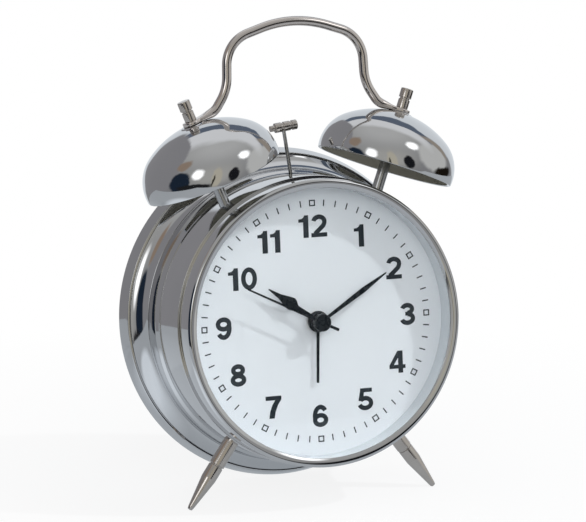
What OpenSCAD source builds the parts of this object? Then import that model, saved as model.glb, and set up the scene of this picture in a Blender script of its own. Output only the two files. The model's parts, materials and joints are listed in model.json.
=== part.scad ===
// Twin-bell analog alarm clock with a drawn metal case, bell hammer and battery movement.
// Built upright around the dial axis: X right, Y to the back, Z up, dial face at Y = 0, in millimetres.
// The finished clock leans back on its two legs and the lower edge of the rear cover.

/* [Case] */
// Radius of the front band of the case
case_r = 49.8; // [47:0.1:53]
// Sheet thickness of the case
case_wall = 0.8; // [0.6:0.1:1.1]
// Distance from the dial face to the back of the rear cover
case_depth = 40.6; // [39:0.1:44]
// Distance from the dial face to the end of the front band
band_depth = 20.4; // [19.8:0.1:21]
// Height of the rear band above the front band
wall_step = 0.9; // [0.6:0.1:1.2]
// Radius of the flare between the rear band and the rear cover
flare_round = 7.9; // [7.2:0.1:8.6]
// Height of the rear cover rim above the front band
rim_step = 8.1; // [7.6:0.1:9]

/* [Front] */
// Step from the case front band in to the bezel
bezel_step = 0.6; // [0.4:0.1:0.9]
// Height of the bezel in front of the dial face
bezel_h = 9.4; // [9:0.1:11]
// Width of the bezel lip that holds the glass
lip_w = 3.1; // [2.5:0.1:4]
// Thickness of the bezel lip
lip_t = 1; // [0.8:0.1:1.3]
// Thickness of the glass
glass_t = 1.2; // [1:0.1:1.5]
// Thickness of the dial
dial_t = 0.5; // [0.4:0.1:0.6]

/* [Hands] */
// Length of the hour hand
hour_len = 21.6; // [19:0.1:24]
// Length of the minute hand
minute_len = 28.8; // [26:0.1:35]
// Length of the second hand
second_len = 29.4; // [26:0.1:36]
// Length of the alarm hand
alarm_len = 20.8; // [18:0.1:24]
// Time shown, in minutes after twelve
shown_minutes = 609.68; // [0:0.01:720]
// Second shown
shown_second = 49.45; // [0:0.01:60]
// Alarm time shown, in hours
shown_alarm = 6.08; // [0:0.01:12]

/* [Bells] */
// Widest radius of a bell
bell_r = 24.1; // [23:0.1:25]
// Height of a bell
bell_h = 19.6; // [18.5:0.1:20.5]
// Sheet thickness of a bell
bell_wall = 1.2; // [0.9:0.1:1.5]
// Outward tilt of a bell, in degrees
bell_tilt = 20.5; // [18:0.5:23]
// Distance of a bell rim centre from the middle
bell_x = 31.2; // [30.5:0.1:32.5]
// Height of a bell rim centre above the front band of the case
bell_rise = 0.7; // [0.4:0.1:2]
// Distance of the bells behind the dial face
bell_y = 10.3; // [9.5:0.1:11.5]
// Diameter of a bell post
post_d = 3.9; // [3.4:0.1:4.6]
// Height of a finial nut
finial_h = 7.1; // [6:0.1:9]
// Diameter of a finial nut
finial_d = 4.4; // [4:0.1:5.4]

/* [Handle] */
// Diameter of the handle rod
handle_d = 3.3; // [2.8:0.1:3.8]
// Width of the handle between its rod centres
handle_w = 49.2; // [47:0.2:52]
// Height of the handle corner above the bell rims
handle_up = 45.8; // [44.8:0.1:50]
// Rise of the handle peak above its corners
handle_rise = 8; // [7:0.1:9]

/* [Hammer] */
// Distance of the hammer behind the dial face
hammer_y = 17.4; // [16.8:0.1:17.6]
// Tilt of the resting hammer to the left, in degrees
hammer_tilt = 7.2; // [0:0.1:10]
// Distance from the hammer pivot to the head
hammer_len = 22.2; // [21:0.1:23.5]
// Length of the hammer head
head_len = 9.9; // [8:0.1:10.5]
// Diameter of the hammer head
head_d = 3.4; // [2.8:0.1:4]
// Diameter of the hammer rod
hammer_d = 1.3; // [1.1:0.1:1.5]

/* [Legs] */
// Angle of a leg from straight down, in degrees
leg_angle = 36; // [33:0.5:40]
// Length of a leg outside the case
leg_len = 27.1; // [25:0.1:30]
// Diameter of a leg
leg_d = 5.4; // [4.6:0.1:6.2]
// Diameter of a leg tip
tip_d = 1.9; // [1.5:0.1:2.5]
// Distance of the legs behind the dial face
leg_y = 10; // [9:0.1:11.5]

/* [Back] */
// Thickness of the rear cover
cover_t = 1.6; // [1.4:0.1:1.8]
// Length of the rear cover rim
rim_depth = 5.8; // [5:0.1:6.4]
// Diameter of a setting knob
knob_d = 8.6; // [7.6:0.1:9]
// Height of a setting knob
knob_h = 5; // [4:0.1:6]
// Travel of the alarm switch
switch_travel = 6; // [4:0.1:7]
// Diameter of a battery cell
cell_d = 14.2; // [13.8:0.1:14.4]
// Length of a battery cell
cell_len = 50.2; // [49.6:0.1:50.6]

/* [Movement] */
// Tooth module of the hour and setting wheels
mod_motion = 0.5; // [0.49:0.01:0.51]
// Tooth module of the alarm wheels
mod_alarm = 0.45; // [0.44:0.01:0.46]
// Tooth module of the third wheel
mod_third = 0.3; // [0.29:0.01:0.31]
// Tooth module of the seconds wheel
mod_seconds = 0.45; // [0.44:0.01:0.46]
// Tooth module of the step wheel
mod_step = 0.3; // [0.29:0.01:0.31]
// Play between meshing teeth
backlash = 0.1; // [0.08:0.01:0.12]

/* [Hidden] */
$fn = 96;
over = 1;
// Radial play of fixed pieces and of turning pieces
fit = 0.05;
run = 0.06;
press = 0.01;

// Case stations along the depth, and radii
seam = dial_t;
cover_y = case_depth - cover_t;
step_y = band_depth + 1.4;
wall_r = case_r + wall_step;
neck_y = case_depth - rim_depth - 0.2;
rim_r = case_r + rim_step;
rim_wall = 2.5;
rim_fall = 1.6;
rim_edge = 0.6;
neck_r = rim_r - rim_wall - fit;
flare_x = flare_round - (neck_r - wall_r);
flare_y = neck_y - sqrt(flare_round * flare_round - flare_x * flare_x);
case_in = case_r - case_wall;
lug_r = neck_r - 3.9;
lug_angles = [45, 135, 225, 315];

// Front stack
spigot_len = 3;
spigot_r = case_in - fit;
seat_r = spigot_r - 0.75;
bezel_r = case_r - bezel_step;
lip_r = bezel_r - lip_w;
glass_y = lip_t - bezel_h;
ring_y = glass_y + glass_t;
carrier_y = dial_t + spigot_len;

// Hands and the pipes that carry them
hand_pitch = 1.4;
hand_y = -1.1;
hub_t = 1;
blade_t = 0.3;
arbor_r = 0.5;
minute_r = 1.2;
hour_r = 2;
alarm_r = 2.8;
alarm_end = hand_y - hub_t;
hour_end = alarm_end - hand_pitch;
minute_end = hour_end - hand_pitch;
second_end = minute_end - hand_pitch;
minute_turn = shown_minutes * 6;
hour_turn = shown_minutes / 2;
second_turn = shown_second * 6;
alarm_turn = shown_alarm * 30;

// Bell axis and the point where it meets the case
bell_z = case_r + bell_rise;
// The dome is a crown ball that runs into a rounded side, widest a little above the rim
bell_waist = 2.4;
bell_side = 14;
side_x = bell_r - bell_side;
dome_h = bell_h - bell_waist;
bell_ball = (side_x * side_x + dome_h * dome_h - bell_side * bell_side) / (2 * (dome_h - bell_side));
bell_mid = bell_h - bell_ball;
boss_t = bell_wall + 0.3;
boss_r = 4;
eye_t = 1.5;
eye_r = 3.15;
stud_r = 1.2;
post_bore = 1.4;
axis_x = sin(bell_tilt);
axis_z = cos(bell_tilt);
post_dot = bell_x * axis_x + bell_z * axis_z;
post_far = bell_x * bell_x + bell_z * bell_z;
post_foot = post_dot - sqrt(post_dot * post_dot - post_far + case_r * case_r);
post_wall = post_dot - sqrt(post_dot * post_dot - post_far + case_in * case_in);

// Handle corners, right half, as distance from the middle and height
tab_len = 8.4;
rod_lift = bell_h + eye_t;
foot_lift = bell_h + 1;
foot_end = on_axis(-6.8, foot_lift);
foot_bend = on_axis(-9.2, foot_lift);
handle_z = bell_z + handle_up;
handle_path = [
    foot_end,
    foot_bend,
    [handle_w / 2 + 0.6, handle_z - 16.2],
    [handle_w / 2, handle_z],
    [0, handle_z + handle_rise],
    [-handle_w / 2, handle_z],
    [-0.6 - handle_w / 2, handle_z - 16.2],
    [-foot_bend[0], foot_bend[1]],
    [-foot_end[0], foot_end[1]]
];
handle_bends = [0, 6, 20, 12, 40, 12, 20, 6, 0];

// Hammer pivot and slot
pivot_z = case_r - 5.8;
slot_w = hammer_d + 0.7;
swing = 17;
slot_half = 5.8 * tan(swing) + hammer_d / 2 + 0.4;
pin_r = 1;
hub_r = 2.9;
hub_y = hammer_y - 2;
magnet_z = pivot_z - 11;
core_x = 6;
magnet_x = 17.4;

// Stance: both leg tips and the rim edge of the rear cover touch the table
leg_reach = case_r + leg_len - tip_d / 2;
tip_z = leg_reach * cos(leg_angle);
rest_y = case_depth - rim_edge;
stance_y = rest_y - leg_y;
stance_z = rim_r - tip_z;
lean = asin(tip_d / 2 / norm([stance_y, stance_z])) - atan2(stance_z, stance_y);
lift = rest_y * sin(lean) + rim_r * cos(lean);
front_y = min(
    (0.5 - bezel_h) * cos(lean) - bezel_r * sin(lean),
    -bezel_h * cos(lean) - (bezel_r - 0.5) * sin(lean)
);
back_y = max(
    case_depth * cos(lean) + (rim_r - rim_edge) * sin(lean),
    rest_y * cos(lean) + rim_r * sin(lean)
);
shift_y = -(front_y + back_y) / 2;

// Movement box
box_left = -24;
box_right = 29;
box_low = -20;
box_high = 22;
plate_t = 1.8;
box_wall = 1.2;
split_y = 9.5;
back_y0 = 16.7;
back_y1 = back_y0 + plate_t;
floor_y = dial_t + plate_t;
pivot_r = 0.4;
pivot_len = 1.2;
stem_r = 1;
ear_x = 7;
ear_at = [box_left - ear_x / 2, box_right + ear_x / 2];
ear_z = [-12, 12];

// Wheel axes and tooth phases
motion_gap = mod_motion * 20;
motion_dir = 180;
motion_at = polar(motion_gap, motion_dir);
set_dir = 230;
set_at = motion_at + polar(mod_motion * 21, set_dir);
alarm_dir = 310;
alarm_at = polar(mod_alarm * 24, alarm_dir);
third_dir = 100;
third_gap = mod_third * 34;
third_at = polar(third_gap, third_dir);
mod_centre = third_gap / 36;
step_dir = 35;
step_at = polar(mod_seconds * 24, step_dir);
rotor_dir = -30;
rotor_at = step_at + polar(mod_step * 28, rotor_dir);
motion_phase = mesh_turn(motion_dir, 0, 10, 30);
hour_phase = mesh_turn(motion_dir + 180, 0, 8, 32);
set_phase = mesh_turn(set_dir, motion_phase, 30, 12);
alarm_phase = mesh_turn(alarm_dir, 0, 36, 12);
third_phase = mesh_turn(third_dir, 0, 8, 60);
centre_phase = mesh_turn(third_dir + 180, 0, 8, 64);
step_phase = mesh_turn(step_dir, 0, 40, 8);
rotor_phase = mesh_turn(rotor_dir, 0, 48, 8);
stator_w = 8.4;
coil_x = rotor_at[0] + 8.2;

// Battery box behind the movement, below the setting knobs
cell_gap = 0.4;
cell_wall = 1.1;
cell_top = -13.6;
upper_z = cell_top - cell_d / 2;
lower_z = upper_z - cell_d - cell_gap;
tray_high = cell_top + 0.2;
tray_low = lower_z - cell_d / 2 - 0.2;
tray_half = cell_len / 2 + 1.4;
tray_y = cover_y - cell_d - 0.8;
cell_y = tray_y + cell_d / 2 + 0.2;
door_half = tray_half + 0.4;
door_high = tray_high;
door_low = tray_low - 0.4;
hinge_z = door_low + 0.8;
hinge_y = cover_y + cover_t / 2;
hinge_r = 0.5;
switch_z = 20;
switch_neck = 3;

function polar(r, a) = [r * cos(a), r * sin(a)];

// A point of the right-hand bell frame, as distance from the middle and height
function on_axis(across, along) =
    [bell_x + across * axis_z + along * axis_x, bell_z - across * axis_x + along * axis_z];

// Turn of a gear b that puts its gap on a tooth of gear a, seen from a in direction dir
function mesh_turn(dir, turn_a, teeth_a, teeth_b) =
    dir + 180 - 180 / teeth_b + (dir - turn_a) * teeth_a / teeth_b;

// One tooth outline: radius and angle steps from root to tip and back
function tooth(teeth, m, turn, i) =
    let (
        rp = m * teeth / 2,
        half = (PI * m / 2 - backlash) / 2 / rp * 180 / PI,
        mid = turn + 360 * i / teeth
    )
    [
        polar(rp - 1.2 * m, mid - half),
        polar(rp, mid - half),
        polar(rp + 0.8 * m, mid - 0.45 * half),
        polar(rp + 0.8 * m, mid + 0.45 * half),
        polar(rp, mid + half),
        polar(rp - 1.2 * m, mid + half)
    ];

module placed() {
    translate([0, shift_y, lift]) rotate([-lean, 0, 0]) children();
}

// Profile of radius and depth turned around the dial axis
module turned() {
    rotate([-90, 0, 0]) rotate_extrude() children();
}

module disc(r, y0, y1) {
    translate([0, y0, 0]) rotate([-90, 0, 0]) cylinder(r = r, h = y1 - y0);
}

module tube(r_out, r_in, y0, y1) {
    difference() {
        disc(r_out, y0, y1);
        disc(r_in, y0 - over, y1 + over);
    }
}

module at(p) {
    translate([p[0], 0, p[1]]) children();
}

module block(x0, x1, y0, y1, z0, z1) {
    translate([x0, y0, z0]) cube([x1 - x0, y1 - y0, z1 - z0]);
}

module gear(teeth, m, turn, y0, y1) {
    translate([0, y1, 0]) rotate([90, 0, 0]) linear_extrude(y1 - y0)
        polygon([for (i = [0 : teeth - 1]) each tooth(teeth, m, turn, i)]);
}

// Frame of a bell: Z along its axis, rim at Z = 0
module on_bell(side) {
    translate([side * bell_x, bell_y, bell_z]) rotate([0, side * bell_tilt, 0]) children();
}

// Frame of a leg: Z outwards along the leg, Z = 0 on the dial axis
module on_leg(side) {
    translate([0, leg_y, 0]) rotate([0, side * (180 - leg_angle), 0]) children();
}

// Frame of the hammer: Z along the rod, origin on the pivot
module on_hammer() {
    translate([0, hammer_y, pivot_z]) rotate([0, -hammer_tilt, 0]) children();
}

// Hand pointing at twelve o'clock, turned clockwise as seen from the front
module hand(turn, y0, bore, hub, outline) {
    rotate([0, turn, 0]) difference() {
        union() {
            disc(hub, y0, y0 + hub_t);
            translate([0, y0 + hub_t, 0]) rotate([90, 0, 0]) linear_extrude(blade_t) polygon(outline);
        }
        disc(bore, y0 - over, y0 + hub_t + over);
    }
}

// Region of the case from its axis out to the sheet, less an inset
module case_region(inset) {
    polygon([
        [0, seam - inset],
        [case_r - inset, seam - inset],
        [case_r - inset, band_depth + inset / 2],
        [wall_r - inset, step_y + inset / 2],
        [wall_r - inset, flare_y],
        [0, flare_y]
    ]);
    difference() {
        translate([0, flare_y]) square([neck_r - inset, cover_y - flare_y + inset]);
        translate([wall_r + flare_round, flare_y]) circle(r = flare_round + inset);
    }
}

module screw(shank_r, head_r, head_t, len) {
    rotate([-90, 0, 0]) {
        translate([0, 0, -len]) cylinder(r = shank_r, h = len);
        difference() {
            cylinder(r = head_r, h = head_t);
            translate([-head_r * 0.6, -0.3, head_t * 0.5]) cube([head_r * 1.2, 0.6, head_t]);
            translate([-0.3, -head_r * 0.6, head_t * 0.5]) cube([0.6, head_r * 1.2, head_t]);
        }
    }
}

// Straight piece of a rod in the XZ plane
module rod_straight(a, b, d) {
    translate([a[0], 0, a[1]]) rotate([0, atan2(b[0] - a[0], b[1] - a[1]), 0])
        cylinder(d = d, h = norm(b - a));
}

// Bend of a rod in the XZ plane, around corner b from a to c
module rod_bend(a, b, c, r, d) {
    from = atan2(b[1] - a[1], b[0] - a[0]);
    turn = atan2(c[1] - b[1], c[0] - b[0]) - from;
    bend = turn > 180 ? turn - 360 : turn < -180 ? turn + 360 : turn;
    back = r * tan(abs(bend) / 2);
    side = bend > 0 ? 90 : -90;
    mid = b - polar(back, from) + polar(r, from + side);
    start = bend > 0 ? from - side : from - side + bend;
    translate([mid[0], 0, mid[1]]) rotate([90, 0, 0]) rotate([0, 0, start])
        rotate_extrude(angle = abs(bend)) translate([r, 0]) circle(d = d);
}

function bend_back(p, r, i) =
    let (
        from = atan2(p[i][1] - p[i - 1][1], p[i][0] - p[i - 1][0]),
        turn = atan2(p[i + 1][1] - p[i][1], p[i + 1][0] - p[i][0]) - from,
        bend = turn > 180 ? turn - 360 : turn < -180 ? turn + 360 : turn
    )
    r * tan(abs(bend) / 2);

function toward(a, b, len) = a + (b - a) / norm(b - a) * len;

// Straight pieces stop just short of the bends, and a ball a hair larger than the rod joins them
module bent_rod(p, r, d) {
    last = len(p) - 1;
    for (i = [0 : last - 1]) {
        from = i == 0 ? p[0] : toward(p[i], p[i + 1], bend_back(p, r[i], i) + 0.05);
        to = i == last - 1 ? p[last] : toward(p[i + 1], p[i], bend_back(p, r[i + 1], i + 1) + 0.05);
        rod_straight(from, to, d);
    }
    for (i = [1 : last - 1]) {
        rod_bend(p[i - 1], p[i], p[i + 1], r[i], d);
        for (j = [-1, 1]) {
            joint = toward(p[i], p[i + j], bend_back(p, r[i], i));
            translate([joint[0], 0, joint[1]]) sphere(d = d + 0.02);
        }
    }
}

module case_shell() color("silver") {
    difference() {
        turned() difference() {
            case_region(0);
            case_region(case_wall);
        }
        for (side = [-1, 1]) {
            on_bell(side) translate([0, 0, -post_wall - 6]) cylinder(r = post_bore + press, h = 12);
            on_leg(side) translate([0, 0, case_in - 5]) cylinder(r = post_bore + press, h = 10);
        }
        translate([0, hammer_y, 0])
            block(-slot_half, slot_half, -slot_w / 2, slot_w / 2, case_in - 4, case_r + 4);
    }
    for (a = lug_angles) rotate([0, a, 0]) difference() {
        block(-4, 4, cover_y - 1, cover_y, lug_r - 3.5, neck_r - 0.25);
        at([0, lug_r]) disc(1 + press, cover_y - 3, cover_y + over);
    }
}

module bezel() color("silver") turned() polygon([
    [lip_r, 0.4 - bezel_h],
    [bezel_r - 0.5, -bezel_h],
    [bezel_r, 0.5 - bezel_h],
    [bezel_r, seam],
    [spigot_r, seam],
    [spigot_r, carrier_y],
    [seat_r, carrier_y],
    [seat_r, glass_y],
    [lip_r, glass_y]
]);

module glass() color([0.85, 0.93, 0.95, 0.3]) disc(seat_r - fit, glass_y, ring_y);

module inner_ring() color("whitesmoke") turned() polygon([
    [lip_r + 0.1, ring_y],
    [seat_r - fit, ring_y],
    [seat_r - fit, 0],
    [lip_r - 0.6, 0]
]);

module dial() color("white") tube(seat_r - fit, alarm_r + 0.3, 0, dial_t);

module carrier_plate() color("dimgray") difference() {
    disc(seat_r - fit, dial_t, carrier_y);
    movement_space(-0.3, dial_t - over, carrier_y + over);
    for (x = ear_at, z = ear_z) at([x, z]) disc(1 + press, dial_t + 0.4, carrier_y + over);
    for (x = [-10, 12]) at([x, pivot_z - 14]) disc(1 + press, dial_t + 0.4, carrier_y + over);
    at([0, pivot_z]) disc(pin_r + press, dial_t + 0.4, carrier_y + over);
}

module alarm_hand() color([0.05, 0.05, 0.06])
    hand(alarm_turn, alarm_end, alarm_r + press, 3.65,
        [[-0.5, 3], [-0.42, alarm_len], [0.42, alarm_len], [0.5, 3]]);

module hour_hand() color([0.05, 0.05, 0.06]) hand(hour_turn, hour_end, hour_r + press, 3.2, [
    [-0.75, 2.6],
    [-0.75, 0.44 * hour_len],
    [-1.6, 0.5 * hour_len],
    [-2.3, 0.56 * hour_len],
    [-1.9, 0.63 * hour_len],
    [-0.9, 0.78 * hour_len],
    [-0.2, hour_len],
    [0.2, hour_len],
    [0.9, 0.78 * hour_len],
    [1.9, 0.63 * hour_len],
    [2.3, 0.56 * hour_len],
    [1.6, 0.5 * hour_len],
    [0.75, 0.44 * hour_len],
    [0.75, 2.6]
]);

module minute_hand() color([0.05, 0.05, 0.06]) hand(minute_turn, minute_end, minute_r + press, 2.9, [
    [-0.5, 2.4],
    [-0.9, 0.66 * minute_len],
    [-0.2, minute_len],
    [0.2, minute_len],
    [0.9, 0.66 * minute_len],
    [0.5, 2.4]
]);

module second_hand() color([0.05, 0.05, 0.06])
    hand(second_turn, second_end, arbor_r + press, 3,
        [[-0.5, -6.6], [-0.5, 0], [-0.3, second_len], [0.3, second_len], [0.5, 0], [0.5, -6.6]]);

// Half section of a bell from its axis out to the sheet, less an inset
module bell_region(inset) {
    far = 4 * bell_r;
    slope = (bell_waist - bell_mid) / side_x;
    intersection() {
        union() {
            intersection() {
                translate([0, bell_mid]) circle(r = bell_ball - inset);
                polygon([[0, bell_mid], [far, bell_mid + far * slope], [0, bell_mid + far * slope]]);
            }
            intersection() {
                translate([side_x, bell_waist]) circle(r = bell_side - inset);
                polygon([[side_x, bell_waist], [side_x, -far], [far, -far], [far, bell_mid + far * slope]]);
            }
            polygon([[0, bell_mid], [side_x, bell_mid], [side_x, bell_waist]]);
        }
        square([2 * bell_r, 2 * bell_h]);
    }
}

module bell(side) on_bell(side) color("silver") difference() {
    union() {
        rotate_extrude() difference() {
            bell_region(0);
            bell_region(bell_wall);
        }
        translate([0, 0, bell_h - boss_t]) cylinder(r = boss_r, h = boss_t);
    }
    translate([0, 0, bell_h - 2 * boss_t]) cylinder(r = stud_r + fit, h = 3 * boss_t);
}

module bell_left() bell(-1);

module bell_right() bell(1);

module post(side) color("lightgray") {
    difference() {
        on_bell(side) translate([0, 0, -post_foot - 2])
            cylinder(d = post_d, h = post_foot + 2 + bell_h - boss_t);
        disc(case_r, -over, case_depth);
    }
    on_bell(side) {
        translate([0, 0, -post_wall - 3.4]) cylinder(r = post_bore, h = post_wall + 5);
        translate([0, 0, bell_h - boss_t - over]) cylinder(r = stud_r, h = boss_t + over + eye_t + 4.4);
    }
}

module post_left() post(-1);

module post_right() post(1);

// Hex nut trimmed to the inside of the case sheet
module seat_nut(along) difference() {
    translate([0, 0, along]) cylinder(d = 6.4, h = 3.2, $fn = 6);
    translate([0, 0, along - over]) cylinder(r = post_bore + press, h = 6);
}

module post_nuts() color("lightgray") intersection() {
    for (side = [-1, 1]) on_bell(side) seat_nut(-post_wall - 2.6);
    disc(case_in - fit, 0, case_depth);
}

module finial(side) color([0.72, 0.69, 0.64]) on_bell(side) translate([0, 0, rod_lift]) difference() {
    rotate_extrude() polygon([
        [0, 0],
        [finial_d * 0.46, 0],
        [finial_d * 0.46, finial_h * 0.46],
        [finial_d * 0.38, finial_h * 0.46],
        [finial_d * 0.38, finial_h * 0.54],
        [finial_d * 0.5, finial_h * 0.54],
        [finial_d * 0.5, finial_h - 0.3],
        [finial_d * 0.5 - 0.3, finial_h],
        [0, finial_h]
    ]);
    translate([0, 0, -over]) cylinder(r = stud_r + press, h = over + 4.6);
}

module finial_left() finial(-1);

module finial_right() finial(1);

module handle() color("silver") difference() {
    union() {
        translate([0, bell_y, 0]) bent_rod(handle_path, handle_bends, handle_d);
        for (side = [-1, 1]) on_bell(side) {
            translate([0, 0, bell_h]) cylinder(r = eye_r, h = eye_t);
            mirror([side < 0 ? 1 : 0, 0, 0]) block(-tab_len, 0, -2.2, 2.2, bell_h, bell_h + eye_t);
        }
    }
    for (side = [-1, 1]) on_bell(side)
        translate([0, 0, bell_h - over]) cylinder(r = stud_r + fit, h = 5);
}

module hammer_head() color([0.72, 0.69, 0.64]) on_hammer() translate([0, 0, hammer_len]) difference() {
    rotate([0, 90, 0]) translate([0, 0, -head_len / 2]) rotate_extrude() polygon([
        [0, 0],
        [head_d * 0.32, 0],
        [head_d * 0.32, head_len * 0.17],
        [head_d * 0.5, head_len * 0.17],
        [head_d * 0.5, head_len * 0.42],
        [head_d * 0.44, head_len * 0.42],
        [head_d * 0.44, head_len * 0.5],
        [head_d * 0.5, head_len * 0.5],
        [head_d * 0.5, head_len * 0.74],
        [head_d * 0.44, head_len * 0.74],
        [head_d * 0.44, head_len * 0.82],
        [head_d * 0.5, head_len * 0.82],
        [head_d * 0.5, head_len],
        [0, head_len]
    ]);
    translate([0, 0, -head_d]) cylinder(d = hammer_d + 2 * press, h = head_d);
}

module hammer_rod() color("gray") on_hammer()
    translate([0, 0, 1.8]) cylinder(d = hammer_d, h = hammer_len - 1.8);

module hammer_lever() color("darkgray") on_hammer() difference() {
    union() {
        disc(hub_r, -2, 2);
        block(-0.6, 0.6, -2, 2, -15, -1);
    }
    disc(pin_r + run, -3, 3);
    translate([0, 0, 1.8]) cylinder(d = hammer_d + 2 * press, h = 4);
}

module armature() color("slategray") on_hammer() block(0.6, 1.6, -3.6, 3.6, -14.6, -6.4);

module hammer_pin() color("lightgray") at([0, pivot_z]) {
    disc(pin_r, carrier_y - 2, hub_y + 6);
    disc(2.2, carrier_y, hub_y - 0.2);
}

module hammer_clip() color("dimgray") at([0, pivot_z])
    tube(2.2, pin_r + press, hub_y + 4.3, hub_y + 4.8);

// Close-wound torsion spring on the hammer pin
module hammer_spring() color("dimgray") at([0, pivot_z]) {
    turned() for (y = [carrier_y + 1.3 : 0.5 : hub_y - 0.5]) translate([2.6, y]) circle(r = 0.28);
    translate([2.6, carrier_y + 1.35, -6]) cylinder(r = 0.25, h = 6.4);
    translate([-2.6, hub_y - 0.65, -6]) cylinder(r = 0.25, h = 6.4);
}

module ringer_bracket() color("silver") difference() {
    union() {
        block(-13, magnet_x + 1.2, carrier_y, carrier_y + 1, pivot_z - 17, pivot_z - 5);
        block(magnet_x, magnet_x + 1.2, carrier_y, hammer_y + 6, pivot_z - 17, pivot_z - 5);
    }
    for (x = [-10, 12]) at([x, pivot_z - 14]) disc(1.2, carrier_y - over, carrier_y + 2);
    translate([magnet_x - over, hammer_y, magnet_z]) rotate([0, 90, 0]) cylinder(r = 1.8 + press, h = 4);
}

module ringer_core() color("slategray") translate([core_x, hammer_y, magnet_z]) rotate([0, 90, 0])
    cylinder(r = 1.8, h = magnet_x + 1.2 - core_x);

module ringer_coil() color([0.72, 0.35, 0.15])
    translate([core_x + 1, hammer_y, magnet_z]) rotate([0, 90, 0]) difference() {
        rotate_extrude() polygon([
            [0, 0],
            [5.2, 0],
            [5.2, 0.8],
            [4.8, 0.8],
            [4.8, magnet_x - core_x - 1.8],
            [5.2, magnet_x - core_x - 1.8],
            [5.2, magnet_x - core_x - 1],
            [0, magnet_x - core_x - 1]
        ]);
        translate([0, 0, -over]) cylinder(r = 1.8 + fit, h = magnet_x);
    }

module leg(side) color([0.72, 0.69, 0.64]) {
    difference() {
        on_leg(side) {
            translate([0, 0, case_r - 1]) rotate_extrude() polygon([
                [0, 0],
                [leg_d / 2, 0],
                [leg_d / 2, 0.34 * leg_len + 1],
                [leg_d / 2 - 0.4, 0.34 * leg_len + 1],
                [leg_d / 2 - 0.4, 0.36 * leg_len + 1],
                [leg_d / 2 - 0.1, 0.36 * leg_len + 1],
                [leg_d / 2 - 0.1, 0.54 * leg_len + 1],
                [tip_d / 2, leg_len - tip_d / 2 + 1],
                [0, leg_len - tip_d / 2 + 1]
            ]);
            translate([0, 0, leg_reach]) sphere(d = tip_d);
        }
        disc(case_r, -over, case_depth);
    }
    on_leg(side) translate([0, 0, case_in - 3.4]) cylinder(r = post_bore, h = 6);
}

module leg_left() leg(-1);

module leg_right() leg(1);

module leg_nuts() color("lightgray") intersection() {
    for (side = [-1, 1]) on_leg(side) seat_nut(case_in - 2.6);
    disc(case_in - fit, 0, case_depth);
}

module hinge_bar(r, half) {
    translate([-half, hinge_y, hinge_z]) rotate([0, 90, 0]) cylinder(r = r, h = 2 * half);
}

module rear_cover() color("silver") difference() {
    turned() polygon([
        [0, cover_y],
        [rim_r - rim_wall, cover_y],
        [rim_r - rim_wall, neck_y + 0.2],
        [rim_r - rim_fall, neck_y + 0.2],
        [rim_r, rest_y],
        [rim_r - rim_edge, case_depth],
        [0, case_depth]
    ]);
    for (p = [set_at, alarm_at]) at(p) disc(stem_r + 0.3, cover_y - over, case_depth + over);
    for (a = lug_angles) rotate([0, a, 0]) at([0, lug_r]) disc(1.2, cover_y - over, case_depth + over);
    block(-door_half - 0.3, door_half + 0.3,
        cover_y - over, case_depth + over, door_low - 0.5, door_high + 0.3);
    hinge_bar(hinge_r + run, door_half + 2);
    block(-switch_neck / 2 - 0.3, switch_neck / 2 + switch_travel + 0.3,
        cover_y - over, case_depth + over, switch_z - 1.6, switch_z + 1.6);
}

module cover_screws() color("lightgray")
    for (a = lug_angles) rotate([0, a, 0])
        translate([0, case_depth, lug_r]) screw(1, 2, 1.3, cover_t + 2);

module knob(p) at(p) difference() {
    disc(knob_d / 2, case_depth + 0.4, case_depth + 0.4 + knob_h);
    disc(stem_r + press, case_depth - over, case_depth + 4.2);
    for (a = [0 : 30 : 330]) rotate([0, a, 0])
        at([0, knob_d / 2 + 0.5]) disc(0.9, case_depth, case_depth + knob_h + 2);
}

module time_knob() color([0.1, 0.1, 0.1]) knob(set_at);

module alarm_knob() color([0.1, 0.1, 0.1]) knob(alarm_at);

module alarm_switch() color([0.1, 0.1, 0.1]) {
    block(-3, 3, case_depth + 0.1, case_depth + 2.4, switch_z - 2.6, switch_z + 2.6);
    block(-switch_neck / 2, switch_neck / 2,
        cover_y - over, case_depth + over, switch_z - 1.4, switch_z + 1.4);
    block(-3, 3, cover_y - 1.4, cover_y - 0.1, switch_z - 3, switch_z + 3);
}

module battery_door() color([0.12, 0.12, 0.12]) {
    difference() {
        block(-door_half, door_half, cover_y, case_depth, door_low, door_high);
        for (i = [0 : 4]) translate([0, 0, door_high - 4 - 1.6 * i])
            block(-8, 8, case_depth - 0.4, case_depth + over, 0, 0.8);
    }
    hinge_bar(hinge_r, door_half + 1.2);
}

module battery_box() color([0.15, 0.15, 0.15]) difference() {
    intersection() {
        block(-tray_half - cell_wall, tray_half + cell_wall,
            tray_y - 1, cover_y, tray_low - cell_wall, tray_high + cell_wall);
        turned() case_region(case_wall + 0.3);
    }
    intersection() {
        block(-tray_half, tray_half, tray_y, cover_y + over, tray_low, tray_high);
        turned() case_region(case_wall + 1);
    }
    block(-door_half - 1, door_half + 1,
        cover_y - 0.5, cover_y + over, tray_low - 2 * cell_wall, hinge_z + 1.3);
}

module cell(z, side) translate([0, cell_y, z]) rotate([0, side * 90, 0]) {
    translate([0, 0, -cell_len / 2]) cylinder(d = cell_d, h = cell_len - 1);
    translate([0, 0, cell_len / 2 - 1]) cylinder(d = 5.4, h = 1);
}

module cell_upper() color("goldenrod") cell(upper_z, 1);

module cell_lower() color("goldenrod") cell(lower_z, -1);

module contact_bump(x, z) translate([x, cell_y, z]) rotate([0, 90, 0]) cylinder(r = 2.5, h = 1);

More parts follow.
